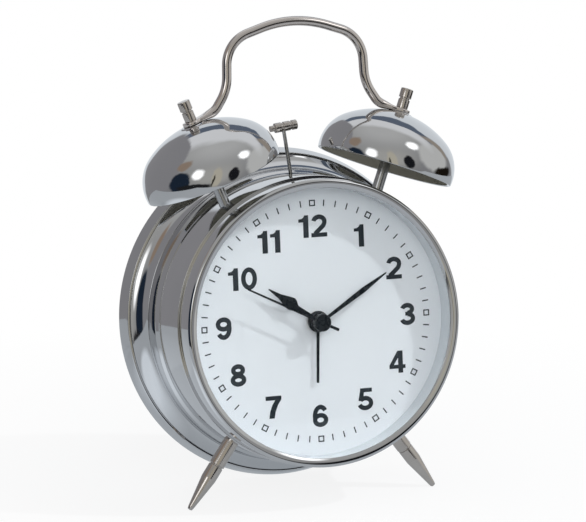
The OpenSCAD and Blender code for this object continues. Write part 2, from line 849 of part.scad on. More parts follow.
// One bridge for both cells on the left, two single contacts on the right
module battery_contacts() color("lightgray") {
    block(-tray_half, -tray_half + 0.4, cell_y - 4, cell_y + 4, lower_z - 4, upper_z + 4);
    for (z = [upper_z, lower_z]) {
        contact_bump(0.2 - tray_half, z);
        block(tray_half - 0.4, tray_half, cell_y - 4, cell_y + 4, z - 4, z + 4);
        contact_bump(tray_half - 1.2, z);
    }
}

// Block of the movement box size, less an inset
module movement_space(inset, y0, y1) {
    block(box_left + inset, box_right - inset, y0, y1, box_low + inset, box_high - inset);
}

module movement_box(y0, y1) difference() {
    movement_space(0, y0, y1);
    movement_space(box_wall, floor_y, back_y0);
}

module movement_front() color([0.92, 0.92, 0.88]) {
    difference() {
        union() {
            movement_box(dial_t, split_y);
            for (x = ear_at, z = ear_z)
                at([x, z]) block(-ear_x / 2 - 0.2, ear_x / 2 + 0.2, carrier_y, carrier_y + 1.5, -3.5, 3.5);
        }
        movement_space(box_wall, floor_y, back_y0);
        disc(alarm_r + run, dial_t - over, floor_y + over);
        for (p = [third_at, step_at, rotor_at])
            at(p) disc(pivot_r + run, floor_y - pivot_len - 0.1, floor_y + over);
        for (p = [set_at, alarm_at])
            at(p) disc(stem_r + run, floor_y - pivot_len - 0.1, floor_y + over);
        for (x = ear_at, z = ear_z) at([x, z]) disc(1.2, carrier_y - over, carrier_y + 3);
    }
    at(motion_at) disc(0.6, floor_y - 0.5, 7.9);
    for (z = [-11, 9]) at([rotor_at[0], z]) disc(1.4, floor_y - 0.5, 11.2);
}

module movement_back() color([0.92, 0.92, 0.88]) difference() {
    movement_box(split_y, back_y1);
    for (p = [third_at, step_at, rotor_at])
        at(p) disc(pivot_r + run, back_y0 - over, back_y0 + pivot_len + 0.1);
    disc(arbor_r + run, back_y0 - over, back_y0 + pivot_len + 0.1);
    for (p = [set_at, alarm_at]) at(p) disc(stem_r + run, back_y0 - over, back_y1 + over);
}

module carrier_screws() color("lightgray") {
    for (x = ear_at, z = ear_z) translate([x, carrier_y + 1.5, z]) screw(1, 1.9, 1.2, 3.5);
    for (x = [-10, 12]) translate([x, carrier_y + 1, pivot_z - 14]) screw(1, 1.9, 1.2, 3.5);
}

module circuit_board() color([0.1, 0.35, 0.2]) {
    block(-22, 2, back_y0 - 1, back_y0, box_low + box_wall + 0.3, -13.5);
    translate([-6, back_y0 - 2, -16.4]) rotate([-90, 0, 0]) cylinder(r = 2, h = 1.5);
}

module stator() color("slategray") difference() {
    union() {
        at([rotor_at[0], 0]) block(-stator_w / 2, stator_w / 2, 11.2, 12, -14, 12);
        for (z = [-14, 8.5]) block(rotor_at[0], coil_x + 1.6, 11.2, 12, z, z + 3.5);
        block(coil_x - 1, coil_x + 1, 11.2, 12, -12, 10);
    }
    at(rotor_at) disc(3.5, 11, 13);
}

module drive_coil() color([0.72, 0.35, 0.15]) translate([coil_x, 11.6, 0]) difference() {
    translate([0, 0, -9.5]) cylinder(d = 6.4, h = 17);
    block(-1 - fit, 1 + fit, -0.4 - fit, 0.4 + fit, -12, 12);
}

module rotor() color("dimgray") at(rotor_at) {
    disc(pivot_r, floor_y - pivot_len, back_y0 + pivot_len);
    disc(3, 10.6, 12.8);
    gear(8, mod_step, rotor_phase, 14.6, 16);
}

module step_wheel() color("gold") at(step_at) {
    disc(pivot_r, floor_y - pivot_len, back_y0 + pivot_len);
    gear(8, mod_seconds, step_phase, 12.6, 14.2);
    gear(48, mod_step, 0, 15, 15.7);
    disc(0.9, 14, 15.2);
}

module seconds_wheel() color("gold") {
    disc(arbor_r, second_end + 0.4, back_y0 + pivot_len);
    gear(8, mod_third, 0, 10.4, 12.2);
    gear(40, mod_seconds, 0, 13, 13.8);
    disc(0.8, 12, 13.2);
}

module third_wheel() color("gold") at(third_at) {
    disc(pivot_r, floor_y - pivot_len, back_y0 + pivot_len);
    gear(8, mod_centre, 0, 8.3, 9.8);
    gear(60, mod_third, third_phase, 11, 11.8);
    disc(0.7, 9.6, 11.2);
}

module centre_wheel() color("gold") difference() {
    gear(64, mod_centre, centre_phase, 8.6, 9.3);
    disc(minute_r + run, 8, 10);
}

module clutch_spring() color("dimgray") tube(2.4, minute_r + press, 8, 8.5);

module minute_pipe() color("gold") difference() {
    union() {
        disc(minute_r, minute_end, 9.9);
        gear(10, mod_motion, 0, 6.3, 7.8);
        disc(1.7, 7.7, 8);
        disc(1.8, 9.4, 9.9);
    }
    disc(arbor_r + run, minute_end - over, 11);
}

module motion_wheel() color("gold") at(motion_at) difference() {
    union() {
        gear(8, mod_motion, 0, 4.3, 6.2);
        gear(30, mod_motion, motion_phase, 6.5, 7.5);
        disc(1.4, 6, 6.7);
    }
    disc(0.6 + run, 4, 9);
}

module hour_wheel() color("gold") difference() {
    union() {
        disc(hour_r, hour_end, 4.6);
        gear(32, mod_motion, hour_phase, 4.5, 5.5);
    }
    disc(minute_r + run, hour_end - over, 7);
}

module alarm_wheel() color("gold") difference() {
    union() {
        disc(alarm_r, alarm_end, 2.8);
        gear(36, mod_alarm, 0, 2.7, 3.7);
    }
    disc(hour_r + run, alarm_end - over, 5);
}

module setting_arbor() color("gold") at(set_at) {
    disc(stem_r, floor_y - pivot_len, case_depth + 4);
    gear(12, mod_motion, set_phase, 6.3, 7.7);
}

module alarm_arbor() color("gold") at(alarm_at) {
    disc(stem_r, floor_y - pivot_len, case_depth + 4);
    gear(12, mod_alarm, alarm_phase, 2.6, 3.9);
}

placed() case_shell();
placed() bezel();
placed() glass();
placed() inner_ring();
placed() dial();
placed() carrier_plate();
placed() alarm_hand();
placed() hour_hand();
placed() minute_hand();
placed() second_hand();
placed() bell_left();
placed() bell_right();
placed() post_left();
placed() post_right();
placed() post_nuts();
placed() finial_left();
placed() finial_right();
placed() handle();
placed() hammer_head();
placed() hammer_rod();
placed() hammer_lever();
placed() armature();
placed() hammer_pin();
placed() hammer_clip();
placed() hammer_spring();
placed() ringer_bracket();
placed() ringer_core();
placed() ringer_coil();
placed() leg_left();
placed() leg_right();
placed() leg_nuts();
placed() rear_cover();
placed() cover_screws();
placed() time_knob();
placed() alarm_knob();
placed() alarm_switch();
placed() battery_door();
placed() battery_box();
placed() cell_upper();
placed() cell_lower();
placed() battery_contacts();
placed() movement_front();
placed() movement_back();
placed() carrier_screws();
placed() circuit_board();
placed() stator();
placed() drive_coil();
placed() rotor();
placed() step_wheel();
placed() seconds_wheel();
placed() third_wheel();
placed() centre_wheel();
placed() clutch_spring();
placed() minute_pipe();
placed() motion_wheel();
placed() hour_wheel();
placed() alarm_wheel();
placed() setting_arbor();
placed() alarm_arbor();
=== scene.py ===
"""Looks of a twin-bell alarm clock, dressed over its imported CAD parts. Sizes are in millimetres unless said."""
import json
import math

import bmesh
import bpy
from mathutils import Matrix, Vector


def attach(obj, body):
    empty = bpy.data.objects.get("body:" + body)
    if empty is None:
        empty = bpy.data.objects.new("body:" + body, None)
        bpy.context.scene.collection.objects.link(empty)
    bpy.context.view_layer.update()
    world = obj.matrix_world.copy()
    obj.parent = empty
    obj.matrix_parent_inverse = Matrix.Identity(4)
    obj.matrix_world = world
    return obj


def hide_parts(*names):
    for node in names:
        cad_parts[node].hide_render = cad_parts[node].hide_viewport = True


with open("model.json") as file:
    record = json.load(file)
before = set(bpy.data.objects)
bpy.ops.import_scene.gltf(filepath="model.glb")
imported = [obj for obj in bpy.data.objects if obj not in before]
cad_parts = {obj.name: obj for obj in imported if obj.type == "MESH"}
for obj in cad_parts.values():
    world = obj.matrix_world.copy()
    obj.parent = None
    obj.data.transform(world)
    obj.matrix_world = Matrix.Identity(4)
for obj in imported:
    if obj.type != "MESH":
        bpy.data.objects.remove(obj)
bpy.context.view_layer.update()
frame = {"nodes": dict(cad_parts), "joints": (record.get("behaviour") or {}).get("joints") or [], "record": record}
scene = bpy.context.scene
MM = 0.001
TAU = 2 * math.pi

# The dial axis gives the case frame: X right, Y to the back, Z up along the leaning case
dial_joint = next(j for j in frame["joints"] if j["name"] == "second_spin")
depth_axis = Vector(dial_joint["axis"]).normalized()
right_axis = Vector((1, 0, 0))
CASE = Matrix((right_axis, depth_axis, right_axis.cross(depth_axis))).transposed().to_4x4()
CASE.translation = Vector(dial_joint["pos_m"])
IN_CASE = CASE @ Matrix.Scale(MM, 4)


def shifted(x, y, z):
    return Matrix.Translation((x, y, z))


def turned(degrees, axis):
    return Matrix.Rotation(math.radians(degrees), 4, axis)


def facing_vector(bearing, height):
    """Unit vector by its bearing from the front towards the right and its height above level, in degrees."""
    a, e = math.radians(bearing), math.radians(height)
    return Vector((math.sin(a) * math.cos(e), -math.cos(a) * math.cos(e), math.sin(e)))


# Frames of the pieces: Z along each turned piece's own axis
ALONG_DEPTH = IN_CASE @ turned(-90, "X")
DIAL_FACE = IN_CASE @ turned(90, "X")
BELL_TILT, BELL_X, BELL_Y, BELL_Z = 20.5, 31.2, 10.3, 50.5
LEG_TURN, LEG_Y = 144, 10
HAMMER_TILT, HAMMER_Y, HAMMER_Z, HAMMER_REACH = -7.2, 17.4, 44, 22.2
BELL, LEG = {}, {}
for side, sign in (("left", -1), ("right", 1)):
    BELL[side] = IN_CASE @ shifted(sign * BELL_X, BELL_Y, BELL_Z) @ turned(sign * BELL_TILT, "Y")
    LEG[side] = IN_CASE @ shifted(0, LEG_Y, 0) @ turned(sign * LEG_TURN, "Y")
HAMMER = IN_CASE @ shifted(0, HAMMER_Y, HAMMER_Z) @ turned(HAMMER_TILT, "Y")
TIME_KNOB = (-16.749, -8.043)
ALARM_KNOB = (6.942, -8.273)


# Colours and nodes
def linear(code):
    """sRGB hex to a linear colour with alpha."""
    parts = [int(code[i:i + 2], 16) / 255 for i in (1, 3, 5)]
    return [p / 12.92 if p <= 0.04045 else ((p + 0.055) / 1.055) ** 2.4 for p in parts] + [1.0]


def add(tree, kind, inputs=None, **settings):
    """Adds a node with its settings. An input takes a value, an output socket, or a node for its first output."""
    made = tree.nodes.new(kind)
    for key, value in settings.items():
        setattr(made, key, value)
    for key, value in (inputs or {}).items():
        if isinstance(value, bpy.types.Node):
            value = value.outputs[0]
        if isinstance(value, bpy.types.NodeSocket):
            tree.links.new(value, made.inputs[key])
        else:
            made.inputs[key].default_value = value
    return made


def surface(name, values):
    """New material: returns it, its tree, its main shader with the given values, and the Object coordinates."""
    made = bpy.data.materials.new(name)
    made.use_nodes = True
    tree = made.node_tree
    shader = tree.nodes["Principled BSDF"]
    for key, value in values.items():
        shader.inputs[key].default_value = value
    where = add(tree, "ShaderNodeTexCoord").outputs["Object"]
    return made, tree, shader, where


def shown(tree, shader):
    """Makes a shader node the surface of its material."""
    tree.links.new(shader.outputs[0], tree.nodes["Material Output"].inputs["Surface"])


def per_mm(size):
    """Noise scale, for coordinates in metres, whose blotches are about this many millimetres wide."""
    return 1 / (size * MM)


def band_scale(pitch):
    """Wave scale, for coordinates in metres, whose bands lie this many millimetres apart along one axis."""
    return TAU / (20 * pitch * MM)


def blotched(tree, shader, where, size, low, high):
    """Lets a cloudy pattern move the roughness between low and high."""
    cloud = add(tree, "ShaderNodeTexNoise", {"Vector": where, "Scale": per_mm(size), "Detail": 4.0})
    spread = add(tree, "ShaderNodeMapRange", {
        "Value": cloud, "From Min": 0.3, "From Max": 0.7, "To Min": low, "To Max": high})
    tree.links.new(spread.outputs["Result"], shader.inputs["Roughness"])


def tinted(tree, shader, where, size, dark, pale):
    """Lets a cloudy pattern move the base colour between two near shades."""
    cloud = add(tree, "ShaderNodeTexNoise", {"Vector": where, "Scale": per_mm(size), "Detail": 3.0})
    mix = add(tree, "ShaderNodeMix", {"Factor": cloud}, data_type="RGBA")
    # A colour mix holds several sockets of one name, so its colour sockets are reached by place
    mix.inputs[6].default_value = linear(dark)
    mix.inputs[7].default_value = linear(pale)
    tree.links.new(mix.outputs[2], shader.inputs["Base Color"])


def bumped(tree, shader, height, depth):
    """Raises the surface by a height; depth is the full relief in millimetres."""
    bump = add(tree, "ShaderNodeBump", {"Height": height, "Distance": depth * MM})
    tree.links.new(bump.outputs["Normal"], shader.inputs["Normal"])


def grained(tree, shader, where, size, depth, detail=1.0):
    """Raises the surface by a cloudy pattern."""
    cloud = add(tree, "ShaderNodeTexNoise", {"Vector": where, "Scale": per_mm(size), "Detail": detail})
    bumped(tree, shader, cloud, depth)


def plain(name, values, tint, rough):
    """Material of a cloudy colour and roughness, each given as its size in millimetres and its two ends."""
    made, tree, shader, where = surface(name, values)
    tinted(tree, shader, where, *tint)
    blotched(tree, shader, where, *rough)
    return made


# Millimetres between the lathe's rings, and between turns of wire as counted along one axis
LATHE_PITCH, WIRE_PITCH = 0.687223, 0.589049
METAL = {"Metallic": 1.0}


def chrome_plate():
    # Bright chrome over pressed steel sheet: a cool mirror, with the sheet's faint waviness and handling haze
    made, tree, shader, where = surface("chrome_plate", METAL)
    tinted(tree, shader, where, 14, "#cbccce", "#d3d4d5")
    blotched(tree, shader, where, 9, 0.03, 0.07)
    grained(tree, shader, where, 11, 0.012)
    return made


def satin_nickel():
    # Nickel on turned brass: warm grey, with the lathe's rings, wide enough to show, left under the plate
    made, tree, shader, where = surface("satin_nickel", METAL)
    tinted(tree, shader, where, 5, "#bdb7b1", "#cdc8c3")
    along = add(tree, "ShaderNodeUVMap")
    rings = add(tree, "ShaderNodeTexWave", {
        "Vector": along, "Scale": band_scale(LATHE_PITCH), "Distortion": 1.5, "Detail": 2.0},
        wave_type="BANDS", bands_direction="Y").outputs["Fac"]
    spread = add(tree, "ShaderNodeMapRange", {"Value": rings, "To Min": 0.1, "To Max": 0.2})
    tree.links.new(spread.outputs["Result"], shader.inputs["Roughness"])
    bumped(tree, shader, rings, 0.004)
    return made


def dial_enamel():
    # Satin white stove enamel on sheet metal: cool white with a very faint orange-peel
    made, tree, shader, where = surface("white_enamel", {"Specular IOR Level": 0.35})
    tinted(tree, shader, where, 20, "#e8eaf0", "#ebedf2")
    blotched(tree, shader, where, 6, 0.38, 0.46)
    grained(tree, shader, where, 0.9, 0.004)
    return made


def hand_lacquer():
    # Black lacquer on stamped brass: deep, half gloss, fine dust grain
    made, tree, shader, where = surface("black_lacquer", {"Specular IOR Level": 0.45})
    tinted(tree, shader, where, 2, "#15191d", "#1e2328")
    blotched(tree, shader, where, 1.5, 0.22, 0.34)
    grained(tree, shader, where, 0.25, 0.004)
    return made


def clear_glass():
    # Flat soda-lime glass: clear, with a trace of green, wiped clean. Lamp rays pass, so the dial stays lit
    made, tree, shader, where = surface("soda_glass", {
        "Base Color": linear("#fbfdfd"), "IOR": 1.5, "Transmission Weight": 1.0, "Roughness": 0.0})
    haze = add(tree, "ShaderNodeTexNoise", {"Vector": where, "Scale": per_mm(25), "Detail": 2.0})
    faint = add(tree, "ShaderNodeMapRange", {
        "Value": haze, "From Min": 0.4, "From Max": 0.8, "To Min": 0.0, "To Max": 0.02})
    tree.links.new(faint.outputs["Result"], shader.inputs["Roughness"])
    to_lamp = add(tree, "ShaderNodeLightPath").outputs["Is Shadow Ray"]
    clear = add(tree, "ShaderNodeBsdfTransparent", {"Color": linear("#f8fbfb")})
    shown(tree, add(tree, "ShaderNodeMixShader", {0: to_lamp, 1: shader, 2: clear}))
    return made


def moulded(name, dark, pale, grain, rough):
    # Injection-moulded plastic, or lacquer: even colour, fine grain, softer shine on worn spots
    made, tree, shader, where = surface(name, {"Specular IOR Level": 0.45})
    tinted(tree, shader, where, 7, dark, pale)
    blotched(tree, shader, where, 5, rough, rough + 0.14)
    grained(tree, shader, where, grain, 0.02, 2.0)
    return made


def wound_wire():
    # Enamelled copper wire in tight turns: orange brown, with a ridge for each turn
    made, tree, shader, where = surface("copper_winding", {"Metallic": 0.8})
    tinted(tree, shader, where, 3, "#8a4a22", "#b26a35")
    blotched(tree, shader, where, 1, 0.28, 0.4)
    turns = add(tree, "ShaderNodeTexWave", {"Vector": where, "Scale": band_scale(WIRE_PITCH)},
                bands_direction="DIAGONAL")
    bumped(tree, shader, turns.outputs["Fac"], 0.05)
    return made


CHROME = chrome_plate()
NICKEL = satin_nickel()
ENAMEL = dial_enamel()
LACQUER = hand_lacquer()
GLASS = clear_glass()
COPPER = wound_wire()
# Nickel on drawn steel rod: warm bright grey, a soft mirror without lathe rings
ROD = plain("nickel_rod", METAL, (6, "#d2cbc6", "#dcd6d2"), (10, 0.1, 0.15))
# Bright drawn steel rod and pressings: cool grey with an uneven satin shine
STEEL = plain("drawn_steel", METAL, (3, "#a9abad", "#bfc0c1"), (1.2, 0.14, 0.26))
# Glossy pale grey styrene wall between dial and glass: cool grey, with a weak mirror of the printed marks
RING = plain("gloss_styrene", {"Specular IOR Level": 0.8}, (9, "#d0d5db", "#d8dde2"), (4, 0.08, 0.14))
# Slate grey printing ink: matt, a little thinner in places
INK = plain("slate_ink", {"Specular IOR Level": 0.2}, (0.6, "#20262c", "#2c3238"), (0.5, 0.55, 0.7))
# Bare metals inside the case, clouded by tarnish and unevenly shiny: yellow brass, dark iron, blackish magnet
BRASS = plain("turned_brass", METAL, (4, "#b08a45", "#cfae66"), (2, 0.18, 0.32))
IRON = plain("soft_iron", METAL, (2, "#55585c", "#6c6f73"), (1, 0.35, 0.5))
MAGNET = plain("sintered_magnet", METAL, (1, "#37383a", "#47484b"), (0.5, 0.4, 0.55))
# Glass-fibre board under green solder lacquer: dark green, mottled by the weave
BOARD = plain("green_laminate", {"Specular IOR Level": 0.5}, (0.5, "#0f3d22", "#175030"), (3, 0.2, 0.35))
# Shrink sleeve on a dry cell: plain ochre, half gloss
SLEEVE = plain("cell_sleeve", {"Metallic": 0.3}, (8, "#8a6a2c", "#a5823c"), (4, 0.25, 0.38))
# Moulded ABS, near black and mid grey, and waxy off-white acetal
BLACK = moulded("black_abs", "#17181a", "#202124", 0.3, 0.38)
GREY = moulded("grey_abs", "#4a4b4d", "#57585a", 0.4, 0.45)
WHITE = moulded("white_acetal", "#d9d8d2", "#e6e5df", 0.5, 0.35)
# Dull warm grey lacquer, for the inside of the bells
LINING = moulded("grey_lacquer", "#a4a297", "#b1afa4", 0.6, 0.4)
FINISH_OF_SLOT = {
    "chrome": CHROME, "satin_nickel": NICKEL, "steel": STEEL, "soft_iron": IRON, "magnet": MAGNET,
    "copper_wire": COPPER, "glass": GLASS, "dial_white": ENAMEL, "ring_grey": RING, "hand_black": LACQUER,
    "grey_plastic": GREY, "black_plastic": BLACK, "white_plastic": WHITE, "brass": BRASS,
    "board_green": BOARD, "cell_jacket": SLEEVE,
}
SLOT_OF_NODE = {s["node"]: s["material_slot"] for s in frame["record"]["subparts"]}
BODY_OF_NODE = {n: b for b, ns in frame["record"]["behaviour"]["bodies"].items() for n in ns}
for node_name, cad_part in frame["nodes"].items():
    cad_part.data.materials.clear()
    cad_part.data.materials.append(FINISH_OF_SLOT[SLOT_OF_NODE[node_name]])


# Making and seating pieces
def placed(name, data):
    """New object in the scene."""
    made = bpy.data.objects.new(name, data)
    scene.collection.objects.link(made)
    return made


def seated(name, mesh, place, finish, node=None, body=None, smooth=35):
    """Puts a mesh in its place as a piece of the object, riding on its node's body and standing for that node."""
    mesh.transform(place)
    mesh.materials.clear()
    mesh.materials.append(finish)
    mesh.shade_smooth()
    mesh.set_sharp_from_angle(angle=math.radians(smooth))
    piece = placed(name, mesh)
    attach(piece, body or BODY_OF_NODE[node])
    if node:
        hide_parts(node)
    return piece


def eased(corners, closed, steps=6):
    """Outline whose corners (x, y, radius) are rounded to their radius."""
    count = len(corners)
    out = []
    for i, (x, y, radius) in enumerate(corners):
        here = Vector((x, y))
        if radius <= 0 or (not closed and i in (0, count - 1)):
            out.append(here)
            continue
        before = Vector(corners[i - 1][:2]) - here
        after = Vector(corners[(i + 1) % count][:2]) - here
        half = before.angle(after) / 2
        back = min(radius / math.tan(half), before.length * 0.49, after.length * 0.49)
        radius = back * math.tan(half)
        start, end = here + before.normalized() * back, here + after.normalized() * back
        middle = here + (before.normalized() + after.normalized()).normalized() * radius / math.sin(half)
        first, last = start - middle, end - middle
        sweep = first.angle_signed(last)
        for k in range(steps + 1):
            out.append(middle + Matrix.Rotation(-sweep * k / steps, 2) @ first)
    return out


def meshed(name, bm):
    """Plain mesh from an edit mesh, with its faces turned outwards."""
    bmesh.ops.recalc_face_normals(bm, faces=bm.faces)
    mesh = bpy.data.meshes.new(name)
    bm.to_mesh(mesh)
    bm.free()
    return mesh


# One full turn around a body of revolution takes this much of its UV, and the way along its outline is in metres
UV_TURN = 0.02
# Steps around turned pieces
LARGE, BELL_ROUND, FLAT, LINING_ROUND, SMALL, THIN = 224, 192, 160, 128, 64, 32


def revolve(bm, outline, closed, steps, layer=None):
    """Adds the body of revolution of an outline of (radius, height), with UV if it is given a layer."""
    rings = []
    for r, h in outline:
        if r < 1e-6:
            rings.append([bm.verts.new((0, 0, h))] * steps)
        else:
            rings.append([
                bm.verts.new((r * math.cos(TAU * k / steps), r * math.sin(TAU * k / steps), h))
                for k in range(steps)])
    run = [0.0]
    for a, b in zip(outline, outline[1:] + outline[:1]):
        run.append(run[-1] + (b - a).length * MM)
    for i in range(len(rings) if closed else len(rings) - 1):
        low, high = rings[i], rings[(i + 1) % len(rings)]
        for k in range(steps):
            n = (k + 1) % steps
            # At the axis two corners are one point, which counts once
            corners = {}
            for vert, around, along in (
                    (low[k], k, i), (low[n], k + 1, i), (high[n], k + 1, i + 1), (high[k], k, i + 1)):
                corners.setdefault(vert, (around / steps * UV_TURN, run[along]))
            face = bm.faces.new(corners)
            if layer is not None:
                for loop in face.loops:
                    loop[layer].uv = corners[loop.vert]


def turned_mesh(name, corners, closed, steps):
    """Body of revolution from an outline of (radius, height, rounding)."""
    bm = bmesh.new()
    revolve(bm, eased(corners, closed), closed, steps, bm.loops.layers.uv.new("turning"))
    return meshed(name, bm)


def lathe(name, corners, closed, place, finish, node, steps):
    """Turned piece that stands for a node."""
    seated(name, turned_mesh(name, corners, closed, steps), place, finish, node)


def block(low, high):
    """Box between two corners, to cut with."""
    mesh = bpy.data.meshes.new("block")
    corners = [(x, y, z) for x in (low[0], high[0]) for y in (low[1], high[1]) for z in (low[2], high[2])]
    mesh.from_pydata(corners, [], [
        (0, 1, 3, 2), (4, 6, 7, 5), (0, 4, 5, 1), (2, 3, 7, 6), (0, 2, 6, 4), (1, 5, 7, 3)])
    return mesh


def cut_out(mesh, cutters):
    """Mesh with the shapes of other meshes taken out of it."""
    objects = [placed(m.name, m) for m in (mesh, *cutters)]
    for cutter in objects[1:]:
        taken = objects[0].modifiers.new("cut", "BOOLEAN")
        taken.object, taken.operation, taken.solver = cutter, "DIFFERENCE", "EXACT"
    ready = objects[0].evaluated_get(bpy.context.evaluated_depsgraph_get())
    out = bpy.data.meshes.new_from_object(ready)
    out.name = mesh.name + "_cut"
    for made in objects:
        bpy.data.objects.remove(made)
    return out


def grown(name, tree, sizes, place, finish, node=None, body=None):
    """Runs a Geometry Nodes tree with its named sizes and keeps the result as a plain mesh."""
    holder = placed(name + "_seed", bpy.data.meshes.new(name + "_seed"))
    modifier = holder.modifiers.new("grow", "NODES")
    modifier.node_group = tree
    for item in tree.interface.items_tree:
        if item.item_type == "SOCKET" and item.in_out == "INPUT" and item.name in sizes:
            modifier[item.identifier] = sizes[item.name]
    ready = holder.evaluated_get(bpy.context.evaluated_depsgraph_get())
    mesh = bpy.data.meshes.new_from_object(ready)
    mesh.name = name
    bpy.data.objects.remove(holder)
    seated(name, mesh, place, finish, node, body)


def tree_with(name, sizes):
    """Empty Geometry Nodes tree with named number inputs; returns it with its input and output nodes."""
    tree = bpy.data.node_groups.new(name, "GeometryNodeTree")
    for key, value in sizes.items():
        kind = "NodeSocketInt" if isinstance(value, int) else "NodeSocketFloat"
        tree.interface.new_socket(key, in_out="INPUT", socket_type=kind).default_value = value
    tree.interface.new_socket("Geometry", in_out="OUTPUT", socket_type="NodeSocketGeometry")
    given = add(tree, "NodeGroupInput").outputs
    return tree, given, add(tree, "NodeGroupOutput")


def ended(tree, out, geometry, finish):
    """Closes a tree: real geometry, then its material."""
    real = add(tree, "GeometryNodeRealizeInstances", {"Geometry": geometry})
    done = add(tree, "GeometryNodeSetMaterial", {"Geometry": real, "Material": finish})
    tree.links.new(done.outputs[0], out.inputs[0])
    return tree


# Camera, from the photograph's dial marks: bearing, height and roll in degrees, and place in mark radii
MARK_R = 40.0
PHOTO_W = 586
VIEW_BEARING, VIEW_HEIGHT, VIEW_ROLL = -20.4, 5.22, -2.3
VIEW_OFFSET = Vector((-0.19889, 0.5131, 28.84))
VIEW_FOCAL_PX = 3380.0
back = facing_vector(VIEW_BEARING, VIEW_HEIGHT)
across = Vector((0, 0, 1)).cross(back).normalized()
level_view = Matrix((across, back.cross(across), back)).transposed()
facing = level_view @ Matrix.Rotation(math.radians(VIEW_ROLL), 3, "Z")
lens = bpy.data.cameras.new("photo_camera")
lens.sensor_width = 36
lens.lens = VIEW_FOCAL_PX / PHOTO_W * lens.sensor_width
lens.clip_start, lens.clip_end = 0.01, 60
camera = placed("photo_camera", lens)
camera.matrix_world = CASE @ (Matrix.Translation(facing @ VIEW_OFFSET * MARK_R * MM) @ facing.to_4x4())
scene.camera = camera

# Case: drawn sheet turned around the dial axis, as radius and depth behind the dial. A front band, a small step,
# a rear band, and a hollow flare that runs out to the neck under the rear cover
CASE_R, WALL_R, NECK_R = 49.8, 50.7, 55.35
CASE_FRONT, BAND_END, STEP_END, NECK_Y, COVER_Y, COVER_BACK = 0.5, 20.4, 21.8, 34.6, 39.0, 40.6
FLARE, WALL, CASE_BACK = 7.9, 0.8, COVER_Y - 0.1
ARC_STEPS = 28


def flared(inset, ease):
    """Points of the flare from the rear band out to the neck, for a sheet surface set in by an amount."""
    middle_r, radius = WALL_R + FLARE, FLARE + inset
    middle_y = NECK_Y - math.sqrt(FLARE ** 2 - (middle_r - NECK_R) ** 2)
    end = math.acos((middle_r - NECK_R + inset) / radius)
    out = []
    for k in range(ARC_STEPS + 1):
        a = end * k / ARC_STEPS
        out.append((middle_r - radius * math.cos(a), middle_y + radius * math.sin(a), 0))
    out[-1] = (*out[-1][:2], ease)
    return out


case_outline = [
    (CASE_R, CASE_FRONT, 0.15), (CASE_R, BAND_END, 0.9), (WALL_R, STEP_END, 0.9), *flared(0, 0.1),
    (NECK_R, CASE_BACK, 0), (NECK_R - WALL, CASE_BACK, 0), *reversed(flared(WALL, 0)),
    (WALL_R - WALL, STEP_END + WALL / 2, 0), (CASE_R - WALL, BAND_END + WALL / 2, 0),
    (CASE_R - WALL, CASE_FRONT, 0)]
case_mesh = turned_mesh("case_sheet", case_outline, True, LARGE)
hammer_slot = block((-2.8, -54, 16.4), (2.8, -44, 18.4))
seated("case_sheet", cut_out(case_mesh, [hammer_slot]), ALONG_DEPTH, CHROME, "case_shell")
# Bezel, with glass, ring and dial one behind the other in it
SEAT_R, GLASS_FRONT, GLASS_BACK, DIAL_BORE, DIAL_BACK = 48.15, -8.4, -7.2, 3.1, 0.5
lathe("front_bezel", [
    (46.1, GLASS_FRONT, 0.1), (46.1, -8.7, 0.2), (47.2, -9.18, 3.0), (48.4, -9.4, 0.8), (49.2, -8.6, 0.5),
    (49.2, 0.45, 0.12), (48.95, 0.5, 0), (48.95, 3.5, 0), (48.2, 3.5, 0), (48.2, GLASS_FRONT, 0)],
    True, ALONG_DEPTH, CHROME, "bezel", LARGE)
lathe("front_glass", [
    (0, GLASS_FRONT, 0), (SEAT_R, GLASS_FRONT, 0.1), (SEAT_R, GLASS_BACK, 0.1), (0, GLASS_BACK, 0)],
    False, ALONG_DEPTH, GLASS, "glass", FLAT)
lathe("rehaut_ring", [(46.2, GLASS_BACK, 0.1), (SEAT_R, GLASS_BACK, 0), (SEAT_R, 0, 0), (45.5, 0, 0.1)],
      True, ALONG_DEPTH, RING, "inner_ring", LARGE)
lathe("dial_sheet", [
    (DIAL_BORE, 0, 0.05), (SEAT_R, 0, 0.05), (SEAT_R, DIAL_BACK, 0), (DIAL_BORE, DIAL_BACK, 0)],
    True, ALONG_DEPTH, ENAMEL, "dial", FLAT)

# Bells: a crown ball that runs into a rounded side, widest a little above the rim, with a flat seat for the handle
BELL_R, BELL_H, BELL_WAIST, BELL_SIDE, BELL_WALL, BELL_SEAT = 24.1, 19.6, 2.4, 14.0, 1.2, 4.0
LINING_GAP, LINING_WALL = 0.01, 0.06


